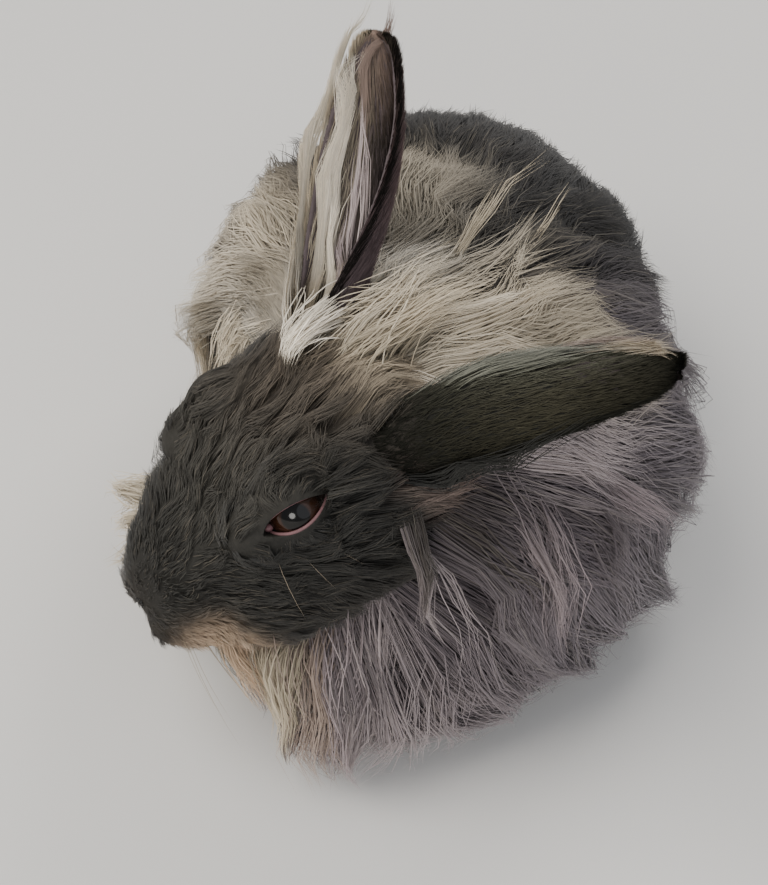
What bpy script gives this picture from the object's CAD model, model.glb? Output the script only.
"""Looks of a life-size lionhead rabbit: skin, eyes, claws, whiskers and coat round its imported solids.

Metres, +Z up. The body faces -Y and its left side is +X. The forms repeat the sizes of the solids'
source in its own modelling frame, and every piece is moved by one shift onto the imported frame.
"""

import sys
import logging
import math
from dataclasses import dataclass, field
from enum import Enum
from typing import Callable, Optional, Sequence

import bpy
import numpy as np
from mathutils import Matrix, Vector
from mathutils.bvhtree import BVHTree
from mathutils.kdtree import KDTree


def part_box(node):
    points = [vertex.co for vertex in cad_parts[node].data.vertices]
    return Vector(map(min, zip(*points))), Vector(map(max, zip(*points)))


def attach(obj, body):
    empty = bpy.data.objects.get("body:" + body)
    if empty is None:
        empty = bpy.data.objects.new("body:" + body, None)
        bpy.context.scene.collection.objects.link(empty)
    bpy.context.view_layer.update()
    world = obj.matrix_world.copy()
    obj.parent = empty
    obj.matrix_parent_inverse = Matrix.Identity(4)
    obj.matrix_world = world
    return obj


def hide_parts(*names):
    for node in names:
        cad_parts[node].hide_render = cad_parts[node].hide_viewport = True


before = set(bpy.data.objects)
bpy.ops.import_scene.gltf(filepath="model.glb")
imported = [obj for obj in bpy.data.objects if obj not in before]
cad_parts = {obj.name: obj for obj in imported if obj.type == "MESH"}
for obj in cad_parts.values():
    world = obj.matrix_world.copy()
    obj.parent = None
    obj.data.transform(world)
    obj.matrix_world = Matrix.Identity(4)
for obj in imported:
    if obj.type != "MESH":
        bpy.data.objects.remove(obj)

Array = np.ndarray
LOG = logging.getLogger("rabbit")
SEED = 11
UP = np.array((0.0, 0.0, 1.0))
LEFT = np.array((1.0, 0.0, 0.0))
BACK = np.array((0.0, 1.0, 0.0))
SIDES = (("left", 1.0), ("right", -1.0))
MOST_TRIANGLES = 200_000
UV_PATCH = 0.003
FLOOR_GAP = 0.0005
HEAD_HALF = 0.03
EYE_PLAY = 0.0001

# How far strands may reach to a side, how much that varies, and the least share of a strand left.
SIDE_REACH = 0.0838
SIDE_VARIETY = 0.006
SIDE_LEAST = 0.3

# How near a root's place has to be to its surface, and how deep another surface may cover it.
ROOT_SNAP = 0.0022
ROOT_COVER = 0.0006

# How sharply markings meet, and how much a far one still counts.
EDGE_POWER = 1.5
FAR_WEIGHT = 1e-5

# A strand's width along its length, its ridge's height, and the lean of its shading normals.
TAPER = ((0, 0.3, 0.6, 0.85, 1.0), (0.8, 1.0, 0.75, 0.4, 0.0))
RIDGE_HEIGHT = 0.8
RIDGE_LEAN = 0.3
SIDE_LEAN = 0.28
LENGTH_VARIETY = (0.85, 1.15)
WIDTH_VARIETY = (0.75, 1.25)


class Tone(Enum):
    """Colours of the coat and skin, as sRGB hex."""

    CHARCOAL = "2b2a27"
    SOOT = "3a3833"
    MUZZLE = "332d27"
    BROWN = "4a4239"
    DARK_BACK = "1b1816"
    TAN = "bda48a"
    BUFF = "9a897e"
    BEIGE = "bfb29b"
    CREAM = "d6cab4"
    PALE = "ece3d2"
    SAND = "9f927e"
    MAUVE = "746a6e"
    MAUVE_DARK = "594f51"
    MAUVE_PALE = "978a8b"
    LILAC = "b3a6a5"
    EAR_LIGHT = "6c6d61"
    EAR_MID = "37352b"
    EAR_DARK = "1b1b17"
    EAR_TIP = "12120f"
    EAR_INNER = "5a4a49"
    EAR_BROWN = "86746a"
    FOOT = "463f38"
    ROSE = "6f4d50"
    HORN = "3b322b"

    def linear(self) -> Array:
        """The colour as linear RGB."""
        srgb = np.array([int(self.value[i:i + 2], 16) / 255 for i in (0, 2, 4)])
        return np.where(srgb <= 0.04045, srgb / 12.92, ((srgb + 0.055) / 1.055) ** 2.4)


def unit(vectors: Array) -> Array:
    """The vectors at length one."""
    return vectors / np.maximum(np.linalg.norm(vectors, axis=-1, keepdims=True), 1e-12)


def dots(one: Array, other: Array) -> Array:
    """Row by row dot products, as a column."""
    return (one * other).sum(-1, keepdims=True)


def read(table: Sequence[Sequence[float]], share: Array) -> Array:
    """Rows of a table at shares of the way along it, on a smooth curve through its rows.

    Args:
        table: rows of numbers.
        share: where to read, from 0 at the first row to 1 at the last.

    Returns:
        An array with one more axis than share.
    """
    rows = np.asarray(table, float)
    last = len(rows) - 1
    place = np.clip(share, 0.0, 1.0) * last
    k = np.minimum(place.astype(int), last - 1)
    t = (place - k)[..., None]
    a, b, c, d = rows[np.maximum(k - 1, 0)], rows[k], rows[k + 1], rows[np.minimum(k + 2, last)]
    second, third = 2 * a - 5 * b + 4 * c - d, 3 * b - a - 3 * c + d
    return 0.5 * (2 * b + (c - a) * t + second * t ** 2 + third * t ** 3)


def metres(millimetres: Sequence[float]) -> Array:
    """Lengths given in millimetres, in metres."""
    return np.asarray(millimetres) / 1000


def power(value: Array, exponent: Array) -> Array:
    """The value's size raised to an exponent, with its sign kept."""
    return np.sign(value) * np.abs(value) ** exponent


@dataclass
class Shape:
    """Points and triangles of one closed surface."""

    points: Array
    triangles: Array

    def corners(self) -> Array:
        """The three corners of each triangle."""
        return self.points[self.triangles]

    def turned_out(self) -> "Shape":
        """The shape with its triangles facing out."""
        a, b, c = np.moveaxis(self.corners(), 1, 0)
        if (a * np.cross(b, c)).sum() < 0:
            return Shape(self.points, self.triangles[:, ::-1])
        return self

    def normals(self) -> Array:
        """A normal at each point."""
        a, b, c = np.moveaxis(self.corners(), 1, 0)
        face = np.cross(b - a, c - a)
        made = np.zeros_like(self.points)
        for k in range(3):
            np.add.at(made, self.triangles[:, k], face)
        return unit(made)

    def inset(self, depth: float) -> "Shape":
        """The shape with every point moved in by a depth."""
        return Shape(self.points - self.normals() * depth, self.triangles)

    def scatter(self, count: int, draw: np.random.Generator) -> Array:
        """Points spread evenly over the surface, as many as count."""
        a, b, c = np.moveaxis(self.corners(), 1, 0)
        area = np.linalg.norm(np.cross(b - a, c - a), axis=1)
        pick = draw.choice(len(area), count, p=area / area.sum())
        u, v = draw.random((2, count, 1))
        over = u + v > 1
        u, v = np.where(over, 1 - u, u), np.where(over, 1 - v, v)
        return a[pick] + (b[pick] - a[pick]) * u + (c[pick] - a[pick]) * v


def joined(shapes: Sequence[Shape]) -> Shape:
    """All the shapes as one."""
    starts = np.cumsum([0] + [len(s.points) for s in shapes])
    triangles = [s.triangles + start for s, start in zip(shapes, starts)]
    return Shape(np.concatenate([s.points for s in shapes]), np.concatenate(triangles))


def quads(a: Array, b: Array, c: Array, d: Array) -> Array:
    """Two triangles for each four corners."""
    return np.concatenate([np.stack([a, b, c], -1).reshape(-1, 3), np.stack([a, c, d], -1).reshape(-1, 3)])


def loft(rings: Array) -> Shape:
    """A closed shape through rings of points, each end closed by a fan."""
    rows, count = rings.shape[:2]
    index = np.arange(rows * count).reshape(rows, count)
    a, b = index[:-1], np.roll(index, -1, axis=1)[:-1]
    c, d = np.roll(index, -1, axis=1)[1:], index[1:]
    sides = quads(a, b, c, d)
    points = np.concatenate([rings.reshape(-1, 3), rings[0].mean(0)[None], rings[-1].mean(0)[None]])
    first, last = index[0], index[-1]
    start, end = np.full(count, rows * count), np.full(count, rows * count + 1)
    caps = [np.stack([np.roll(first, -1), first, start], -1), np.stack([last, np.roll(last, -1), end], -1)]
    return Shape(points, np.concatenate([sides, *caps])).turned_out()


def ellipsoid(centre: Array, radii: Sequence[float], turn: Optional[Array] = None, rows: int = 24) -> Shape:
    """An ellipsoid, turned by a matrix and set at its centre."""
    level = np.linspace(-math.pi / 2, math.pi / 2, rows)[1:-1, None]
    angle = np.linspace(0, 2 * math.pi, rows + 8, endpoint=False)[None]
    flat = np.cos(level)
    ball = np.stack([flat * np.cos(angle), flat * np.sin(angle), np.sin(level) + 0 * angle], -1)
    rings = ball * np.asarray(radii)
    if turn is not None:
        rings = rings @ turn.T
    return loft(rings + np.asarray(centre))


def tube(path: Array, radius: Array, sides: int = 8) -> Shape:
    """A closed tube along a path, with a radius at each of its points."""
    along = unit(np.gradient(path, axis=0))
    across = unit(np.cross(along, UP + 0.01 * LEFT))
    over = np.cross(across, along)
    angle = np.linspace(0, 2 * math.pi, sides, endpoint=False)
    spread = across[:, None] * np.cos(angle)[None, :, None] + over[:, None] * np.sin(angle)[None, :, None]
    return loft(path[:, None] + spread * np.asarray(radius)[:, None, None])


@dataclass(frozen=True)
class HeadPose:
    """Where the head is and how it turns, as axes of its own."""

    at: tuple = (-0.014, -0.066, 0.074)
    turn: float = -46.0
    pitch: float = 17.0

    def axes(self) -> Array:
        """The head's axes in the world, as columns."""
        t, p = math.radians(self.turn), math.radians(self.pitch)
        about_z = np.array([[math.cos(t), -math.sin(t), 0], [math.sin(t), math.cos(t), 0], [0, 0, 1]])
        about_x = np.array([[1, 0, 0], [0, math.cos(p), -math.sin(p)], [0, math.sin(p), math.cos(p)]])
        return about_z @ about_x

    def out(self, points: Array) -> Array:
        """Points of the head's frame in the world."""
        return np.asarray(points) @ self.axes().T + np.array(self.at)

    def back(self, points: Array) -> Array:
        """Points of the world in the head's frame."""
        return (np.asarray(points) - np.array(self.at)) @ self.axes()

    def way_out(self, ways: Array) -> Array:
        """Directions of the head's frame in the world."""
        return np.asarray(ways) @ self.axes().T


POSE = HeadPose()
EYE_SPOT = np.array((0.0192, -0.0056, 0.0144))
_eye_low, _eye_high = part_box("eye_left")
SHIFT = (np.array(_eye_low) + np.array(_eye_high)) / 2 - POSE.out(EYE_SPOT)


def sided(vector: Sequence[float], sign: float) -> Array:
    """A vector of the left side, carried to the side that the sign names."""
    return np.array((vector[0] * sign, vector[1], vector[2]))


def eye_centre(sign: float) -> Array:
    """The middle of the eye on the side that the sign names."""
    return POSE.out(sided(EYE_SPOT, sign))


def mesh_object(name: str, shape: Shape, material: Optional[bpy.types.Material] = None) -> bpy.types.Object:
    """A smooth mesh object of a shape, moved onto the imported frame."""
    mesh = bpy.data.meshes.new(name)
    fill_mesh(mesh, shape.points + SHIFT, shape.triangles)
    if material:
        mesh.materials.append(material)
    return linked(name, mesh)


def linked(name: str, data: bpy.types.ID) -> bpy.types.Object:
    """A new object that holds the data, linked to the scene."""
    made = bpy.data.objects.new(name, data)
    bpy.context.scene.collection.objects.link(made)
    return made


def fill_mesh(mesh: bpy.types.Mesh, points: Array, triangles: Array) -> None:
    """Gives an empty mesh its points and smooth triangles."""
    mesh.vertices.add(len(points))
    mesh.vertices.foreach_set("co", points.astype(np.float32).ravel())
    mesh.loops.add(3 * len(triangles))
    mesh.loops.foreach_set("vertex_index", triangles.astype(np.int32).ravel())
    mesh.polygons.add(len(triangles))
    mesh.polygons.foreach_set("loop_start", np.arange(len(triangles), dtype=np.int32) * 3)
    mesh.polygons.foreach_set("use_smooth", np.ones(len(triangles), bool))
    mesh.update(calc_edges=True)


def shape_of(thing: bpy.types.Object) -> Shape:
    """The shape of an object with its modifiers, back in the modelling frame."""
    graph = bpy.context.evaluated_depsgraph_get()
    mesh = thing.evaluated_get(graph).to_mesh()
    mesh.calc_loop_triangles()
    points = np.empty(len(mesh.vertices) * 3)
    mesh.vertices.foreach_get("co", points)
    triangles = np.empty(len(mesh.loop_triangles) * 3, np.int32)
    mesh.loop_triangles.foreach_get("vertices", triangles)
    thing.to_mesh_clear()
    return Shape(points.reshape(-1, 3) - SHIFT, triangles.reshape(-1, 3))


def skinned(shapes: Sequence[Shape], voxel: float, smooth: int, cutters: Sequence[Shape] = ()) -> Shape:
    """Overlapping closed shapes fused into one smooth surface, with the cutters taken away."""
    made = remeshed(joined(shapes), voxel, smooth)
    return cut(made, cutters) if cutters else made


def remeshed(shape: Shape, voxel: float, smooth: int = 0) -> Shape:
    """The shape on a new even grid, smoothed for so many rounds."""
    body = mesh_object("skin_form", shape)
    grid = body.modifiers.new("grid", "REMESH")
    grid.mode = "VOXEL"
    grid.voxel_size = voxel
    if smooth:
        soft = body.modifiers.new("soft", "SMOOTH")
        soft.factor = 0.5
        soft.iterations = smooth
    made = shape_of(body)
    bpy.data.objects.remove(body)
    return made


def cut(shape: Shape, cutters: Sequence[Shape]) -> Shape:
    """The shape with the cutters taken away, one by one."""
    body = mesh_object("cut_form", shape)
    tools = [mesh_object("cutter", cutter) for cutter in cutters]
    for tool in tools:
        step = body.modifiers.new("cut", "BOOLEAN")
        step.operation = "DIFFERENCE"
        step.object = tool
        step.solver = "MANIFOLD"
    made = shape_of(body)
    for thing in (body, *tools):
        bpy.data.objects.remove(thing)
    return made


class Ground:
    """A surface that coat is combed over."""

    def __init__(self, shape: Shape) -> None:
        """Builds the search tree of a shape."""
        self.shape = shape
        self.tree = BVHTree.FromPolygons(shape.points.tolist(), shape.triangles.tolist())

    def nearest(self, points: Array) -> tuple[Array, Array, Array]:
        """The nearest places on the surface, their normals and their triangles' numbers."""
        find = self.tree.find_nearest
        found = [find(Vector(p)) for p in points]
        spots = np.array([f[0][:] for f in found])
        normals = np.array([f[1][:] for f in found])
        return spots, normals, np.array([f[2] for f in found])

    def depth(self, points: Array) -> Array:
        """How far below the surface each point lies, negative where it is outside."""
        spots, normals, _ = self.nearest(points)
        away = points - spots
        side = np.sign(-(away * normals).sum(1))
        return np.linalg.norm(away, axis=1) * side


class SkinMap:
    """An unwrap of the skin's own shape, which gives each tuft its place in its coat's UV map."""

    def __init__(self, skin: Shape, voxel: float = 0.0024) -> None:
        """Unwraps a coarser copy of the skin."""
        coarse = remeshed(skin, voxel)
        body = mesh_object("unwrap_form", coarse)
        bpy.context.view_layer.objects.active = body
        body.select_set(True)
        bpy.ops.object.mode_set(mode="EDIT")
        bpy.ops.mesh.select_all(action="SELECT")
        bpy.ops.uv.smart_project(angle_limit=math.radians(70), island_margin=0.004)
        bpy.ops.object.mode_set(mode="OBJECT")
        layer = body.data.uv_layers.active
        places = np.empty(len(body.data.loops) * 2, np.float32)
        layer.uv.foreach_get("vector", places)
        self.corner_uv = places.reshape(-1, 3, 2)
        bpy.data.objects.remove(body)
        self.ground = Ground(coarse)

    def places(self, points: Array) -> Array:
        """UV places of points near the skin."""
        spots, _, index = self.ground.nearest(points)
        a, b, c = np.moveaxis(self.ground.shape.corners()[index], 1, 0)
        whole = np.cross(b - a, c - a)
        size = np.maximum((whole * whole).sum(1), 1e-20)
        share_b = (np.cross(spots - a, c - a) * whole).sum(1) / size
        share_c = (np.cross(b - a, spots - a) * whole).sum(1) / size
        weights = np.clip(np.stack([1 - share_b - share_c, share_b, share_c], 1), 0, 1)
        found = (self.corner_uv[index] * weights[..., None]).sum(1)
        return np.clip(found, UV_PATCH, 1 - UV_PATCH)


@dataclass(frozen=True)
class Marking:
    """A patch of the coat: its middle and its reach in millimetres, its colour and its strength."""

    place: tuple
    reach: float
    tone: Tone
    strength: float = 1.0


MANE_MARKINGS = {
    "crown": Marking((10, -34, 108), 24, Tone.PALE, 1.9),
    "crown_left": Marking((36, -24, 106), 20, Tone.BEIGE, 1.3),
    "shoulder_left": Marking((56, -22, 96), 20, Tone.BEIGE, 1.2),
    "shoulder_back": Marking((60, 4, 88), 18, Tone.MAUVE, 1.2),
    "behind_ear": Marking((40, -60, 84), 14, Tone.EAR_BROWN, 1.7),
    "cheek_low": Marking((40, -84, 72), 15, Tone.BROWN, 1.6),
    "ruff_high_left": Marking((70, -58, 60), 14, Tone.MAUVE_DARK, 1.5),
    "under_ear": Marking((66, -48, 76), 17, Tone.LILAC, 1.5),
    "flank_left": Marking((78, -5, 60), 26, Tone.MAUVE),
    "ruff_left": Marking((80, -40, 44), 26, Tone.MAUVE, 1.2),
    "ruff_front_left": Marking((52, -76, 30), 24, Tone.MAUVE, 1.2),
    "cheek_left": Marking((24, -78, 72), 18, Tone.SOOT, 1.7),
    "jaw_left": Marking((12, -94, 60), 12, Tone.MAUVE_DARK, 1.2),
    "bib": Marking((23, -101, 44), 21, Tone.LILAC, 2.0),
    "bib_left": Marking((38, -84, 20), 16, Tone.MAUVE_PALE),
    "chin": Marking((-14, -106, 38), 16, Tone.CREAM, 1.7),
    "bib_tip": Marking((2, -110, 14), 18, Tone.MAUVE_PALE, 1.6),
    "cheek_right": Marking((-62, -80, 60), 24, Tone.BEIGE, 1.3),
    "ruff_right": Marking((-64, -50, 40), 30, Tone.SAND),
    "flank_right": Marking((-64, 0, 70), 28, Tone.BEIGE, 1.5),
    "flank_right_low": Marking((-68, -10, 56), 26, Tone.PALE, 2.6),
    "nape": Marking((-12, 0, 108), 18, Tone.BROWN),
    "nape_patch": Marking((2, 16, 111), 16, Tone.CREAM, 3.3),
    "withers": Marking((18, 26, 108), 28, Tone.DARK_BACK, 3.2),
    "back": Marking((0, 60, 100), 40, Tone.DARK_BACK, 2.2),
    "back_left": Marking((44, 26, 96), 25, Tone.DARK_BACK, 3.0),
    "haunch_left": Marking((62, 45, 60), 30, Tone.DARK_BACK),
    "haunch_right": Marking((-62, 45, 60), 30, Tone.BROWN),
    "rump": Marking((0, 100, 60), 35, Tone.DARK_BACK),
    "low_left": Marking((50, 30, 20), 30, Tone.MAUVE_DARK),
    "low_right": Marking((-50, 30, 20), 30, Tone.BROWN),
}

FACE_MARKINGS = {
    "nose": Marking((0, -50, -8), 10, Tone.MUZZLE),
    "muzzle": Marking((0, -40, 2), 20, Tone.CHARCOAL),
    "mouth": Marking((18, -35, -17), 9, Tone.TAN, 1.8),
    "mouth_right": Marking((-18, -35, -17), 8, Tone.TAN, 0.9),
    "brow": Marking((0, -12, 22), 24, Tone.SOOT),
    "forehead": Marking((-4, 8, 28), 18, Tone.BROWN, 1.1),
    "poll": Marking((-2, 30, 26), 12, Tone.SAND, 1.2),
    "behind_ear": Marking((31, 30, 6), 10, Tone.EAR_BROWN, 1.5),
    "cheek": Marking((30, -4, -4), 26, Tone.CHARCOAL, 1.5),
    "cheek_right": Marking((-30, -4, -4), 24, Tone.CHARCOAL, 1.2),
    "jaw": Marking((20, -4, -26), 18, Tone.BROWN, 1.7),
    "jaw_right": Marking((-20, -4, -26), 18, Tone.BUFF),
    "chin": Marking((0, -34, -26), 10, Tone.TAN),
}


def marked(points: Array, markings: dict[str, Marking]) -> Array:
    """The coat's colour at points in linear RGB, blended from the markings near them."""
    total = np.full((len(points), 1), 1e-9)
    colour = np.zeros((len(points), 3))
    for marking in markings.values():
        away = ((points - metres(marking.place)) ** 2).sum(1) / metres(marking.reach) ** 2
        weight = (marking.strength * np.exp(-away)) ** EDGE_POWER + FAR_WEIGHT / (1 + away)
        total[:, 0] += weight
        colour += weight[:, None] * marking.tone.linear()
    return colour / total


@dataclass
class Torso:
    """The trunk: rings from the rump to the chest."""

    length: float = 0.148
    width: float = 0.124
    height: float = 0.11
    rear: float = 0.103
    widest: float = 0.42
    squareness: float = 2.2
    coat_depth: float = 0.0065
    table: tuple = (
        (0.0, 0.32, 0.45, 0.16),
        (0.02, 0.2, 0.57, 0.42),
        (0.088, 0.12, 0.74, 0.68),
        (0.223, 0.08, 0.89, 0.82),
        (0.392, 0.07, 0.98, 0.89),
        (0.574, 0.07, 1.0, 0.92),
        (0.75, 0.09, 0.95, 0.9),
        (0.899, 0.12, 0.84, 0.78),
        (1.0, 0.18, 0.72, 0.6),
    )

    def flesh(self) -> Shape:
        """The trunk under its coat."""
        rows = read(self.table, np.linspace(0, 1, 60))
        angle = np.linspace(0, 2 * math.pi, 72, endpoint=False)[None]
        low, high = rows[:, 1] * self.height, rows[:, 2] * self.height
        middle = low + (high - low) * self.widest
        c, s = power(np.cos(angle), 2 / self.squareness), power(np.sin(angle), 2 / self.squareness)
        x = c * (rows[:, 3] * self.width / 2)[:, None]
        z = middle[:, None] + np.where(s > 0, s * (high - middle)[:, None], s * (middle - low)[:, None])
        y = np.broadcast_to((self.rear - rows[:, 0] * self.length)[:, None], x.shape)
        return loft(np.stack([x, y, z], -1)).inset(self.coat_depth)


@dataclass
class Mane:
    """The neck's flesh and the mane's tips round it, ring by ring from the throat to the shoulders.

    Each row of the table holds a ring's middle, its turn and lean in degrees, and its reach to the
    left, right, top and bottom, first of the flesh and then of the tips.
    """

    floor_gap: float = 0.0015
    high_squareness: float = 2.1
    low_squareness: float = 4.0
    spacing: float = 0.128
    table: tuple = (
        (-0.025, -0.0765, 0.055, -46, 28, 0.014, 0.014, 0.012, 0.012, 0.018, 0.018, 0.014, 0.016),
        (-0.019, -0.0705, 0.06, -46, 28, 0.022, 0.022, 0.03, 0.02, 0.034, 0.034, 0.04, 0.03),
        (-0.016, -0.067, 0.056, -46, 26, 0.027, 0.027, 0.036, 0.026, 0.05, 0.044, 0.045, 0.05),
        (-0.012, -0.061, 0.052, -43, 21, 0.032, 0.03, 0.04, 0.03, 0.06, 0.055, 0.051, 0.056),
        (-0.005, -0.047, 0.05, -32, 12, 0.038, 0.036, 0.044, 0.034, 0.07, 0.065, 0.058, 0.05),
        (0.002, -0.03, 0.05, -17, 5, 0.046, 0.042, 0.046, 0.038, 0.079, 0.07, 0.062, 0.047),
        (0.004, -0.01, 0.048, -4, 0, 0.052, 0.048, 0.048, 0.038, 0.083, 0.071, 0.066, 0.044),
        (0.002, 0.01, 0.046, 0, 0, 0.054, 0.052, 0.048, 0.034, 0.078, 0.073, 0.065, 0.038),
        (0.001, 0.026, 0.046, 0, 0, 0.05, 0.05, 0.044, 0.026, 0.07, 0.069, 0.062, 0.03),
    )

    def point(self, share: Array, angle: Array, reach: Array) -> Array:
        """Points between the flesh, at reach 0, and the tips, at reach 1.

        Args:
            share: from 0 at the throat to 1 at the shoulders, and past them.
            angle: from the left over the top.
            reach: how far out.

        Returns:
            The points.
        """
        share, angle, reach = np.broadcast_arrays(share, angle, reach)
        rows = read(self.table, share)
        turn, lean = np.radians(rows[..., 3:4]), np.radians(rows[..., 4:5])
        sizes = rows[..., 5:9] + (rows[..., 9:13] - rows[..., 5:9]) * reach[..., None]
        side = np.concatenate([np.cos(turn), np.sin(turn), 0 * turn], -1)
        up = UP * np.cos(lean) + np.cross(UP, side) * np.sin(lean)
        c, s = np.cos(angle), np.sin(angle)
        bend = 2 / np.where(s > 0, self.high_squareness, self.low_squareness)
        across = power(c, bend) * np.where(c > 0, sizes[..., 0], sizes[..., 1])
        over = power(s, bend) * np.where(s > 0, sizes[..., 2], sizes[..., 3])
        past = np.maximum(share - 1, 0) * self.spacing
        made = rows[..., :3] + side * across[..., None] + up * over[..., None] + BACK * past[..., None]
        made[..., 2] = np.maximum(made[..., 2], self.floor_gap)
        return made

    def flesh(self) -> Shape:
        """The neck under the mane."""
        share = np.linspace(0, 1, 56)[:, None]
        angle = np.linspace(0, 2 * math.pi, 64, endpoint=False)[None]
        return loft(self.point(share, angle, np.array(0.0)))


@dataclass
class Head:
    """The skull with its muzzle, cheeks, brows and lids, in the head's own frame."""

    length: float = 0.088
    width: float = 0.066
    depth: float = 0.055
    nose_ahead: float = 0.0505
    widest: float = 0.45
    coat_depth: float = 0.0008
    eye_radius: float = 0.0085
    lid: float = 0.0013
    look: tuple = (0.78, -0.25, 0.57)
    slit_length: float = 0.0172
    slit_height: float = 0.0066
    mouth_reach: tuple = (0.0165, 0.0195)
    mouth_at: tuple = (-0.0275, -0.019)
    mouth_sag: float = 0.0022
    mouth_depth: float = 0.0016
    table: tuple = (
        (0.0, -0.073, -0.282, 0.2, 2.0),
        (0.028, 0.011, -0.391, 0.37, 2.1),
        (0.085, 0.102, -0.469, 0.53, 2.2),
        (0.176, 0.196, -0.518, 0.65, 2.4),
        (0.29, 0.29, -0.545, 0.79, 2.5),
        (0.415, 0.38, -0.564, 0.91, 2.6),
        (0.551, 0.44, -0.564, 0.99, 2.5),
        (0.688, 0.476, -0.549, 1.05, 2.2),
        (0.813, 0.465, -0.518, 1.03, 2.1),
        (0.926, 0.391, -0.436, 0.87, 2.0),
        (1.0, 0.218, -0.273, 0.53, 2.0),
    )
    bumps: tuple = (
        ((0.007, -0.0425, -0.0125), (0.0085, 0.0095, 0.008)),
        ((0.0175, -0.016, -0.011), (0.014, 0.021, 0.0165)),
        ((0.0175, -0.008, 0.013), (0.0105, 0.017, 0.0095)),
    )
    chin: tuple = ((0.0, -0.04, -0.0235), (0.0085, 0.009, 0.0055))
    nostril: tuple = ((0.0032, -0.05, -0.0075), (0.0024, 0.003, 0.0008))
    nostril_lean: float = 38.0

    def eye_axes(self, sign: float) -> Array:
        """The eye's axes in the head's frame, as columns: along the slit, across it and out."""
        look = unit(sided(self.look, sign))
        along = unit(BACK - look * (BACK @ look))
        return np.stack([along, np.cross(look, along), look], 1)

    def skull(self) -> Shape:
        """The skull's loft."""
        rows = read(self.table, np.linspace(0, 1, 64))
        angle = np.linspace(0, 2 * math.pi, 72, endpoint=False)[None]
        top, chin = rows[:, 1] * self.depth, rows[:, 2] * self.depth
        middle = chin + (top - chin) * self.widest
        bend = (2 / rows[:, 4])[:, None]
        c, s = power(np.cos(angle), bend), power(np.sin(angle), bend)
        x = c * (rows[:, 3] * self.width / 2)[:, None]
        z = middle[:, None] + np.where(s > 0, s * (top - middle)[:, None], s * (middle - chin)[:, None])
        y = np.broadcast_to((rows[:, 0] * self.length - self.nose_ahead)[:, None], x.shape)
        return loft(POSE.out(np.stack([x, y, z], -1)))

    def flesh(self) -> list[Shape]:
        """The head's forms under its short fur."""
        turn = POSE.axes()
        made = [self.skull().inset(self.coat_depth)]
        made.append(ellipsoid(POSE.out(self.chin[0]), np.array(self.chin[1]) - self.coat_depth, turn))
        for _, sign in SIDES:
            for spot, radii in self.bumps:
                made.append(ellipsoid(POSE.out(sided(spot, sign)), np.array(radii) - self.coat_depth, turn))
            made.append(ellipsoid(eye_centre(sign), [self.eye_radius + self.lid] * 3, turn, 40))
        return made

    def slit(self, sign: float) -> Shape:
        """The almond between the lids, as a prism from inside the eye out through them."""
        angle = np.linspace(0, 2 * math.pi, 48, endpoint=False)
        rings = []
        for depth, spread in ((0.2, 1.0), (0.75, 1.0), (1.0, 1.05), (1.6, 1.5)):
            along = np.cos(angle) * self.slit_length / 2 * spread
            across = np.sin(angle) * np.abs(np.sin(angle)) ** 0.5 * self.slit_height / 2 * spread
            out = np.full_like(angle, depth * (self.eye_radius + self.lid))
            local = np.stack([along, across, out], 1) @ self.eye_axes(sign).T
            rings.append(POSE.out(sided(EYE_SPOT, sign) + local))
        return loft(np.array(rings))

    def mouth(self) -> Shape:
        """The line of the mouth: a flat blade bent round the muzzle."""
        rings = []
        edge = UP * 0.0006
        for angle in np.radians(np.linspace(-84, 84, 40)):
            way = np.array((math.sin(angle), -math.cos(angle), 0))
            line = np.array((way[0] * self.mouth_reach[0], self.mouth_at[0] + way[1] * self.mouth_reach[1],
                             self.mouth_at[1] - self.mouth_sag * math.cos(angle)))
            depth = self.mouth_depth * math.cos(angle) ** 0.4
            lip = line + way * 0.001
            rings.append([line + way * 0.006, lip + edge, line - way * depth, lip - edge])
        return loft(POSE.out(np.array(rings)))

    def cutters(self) -> list[Shape]:
        """What is taken out of the head: eye sockets, slits, mouth line and nostrils."""
        made = [self.mouth()]
        turn = POSE.axes()
        for _, sign in SIDES:
            made.append(ellipsoid(eye_centre(sign), [self.eye_radius + EYE_PLAY] * 3, None, 40))
            made.append(self.slit(sign))
            lean = math.radians(self.nostril_lean) * sign
            c, s = math.cos(lean), math.sin(lean)
            tilt = np.array([[c, 0, s], [0, 1, 0], [-s, 0, c]])
            made.append(ellipsoid(POSE.out(sided(self.nostril[0], sign)), self.nostril[1], turn @ tilt))
        return made


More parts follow.
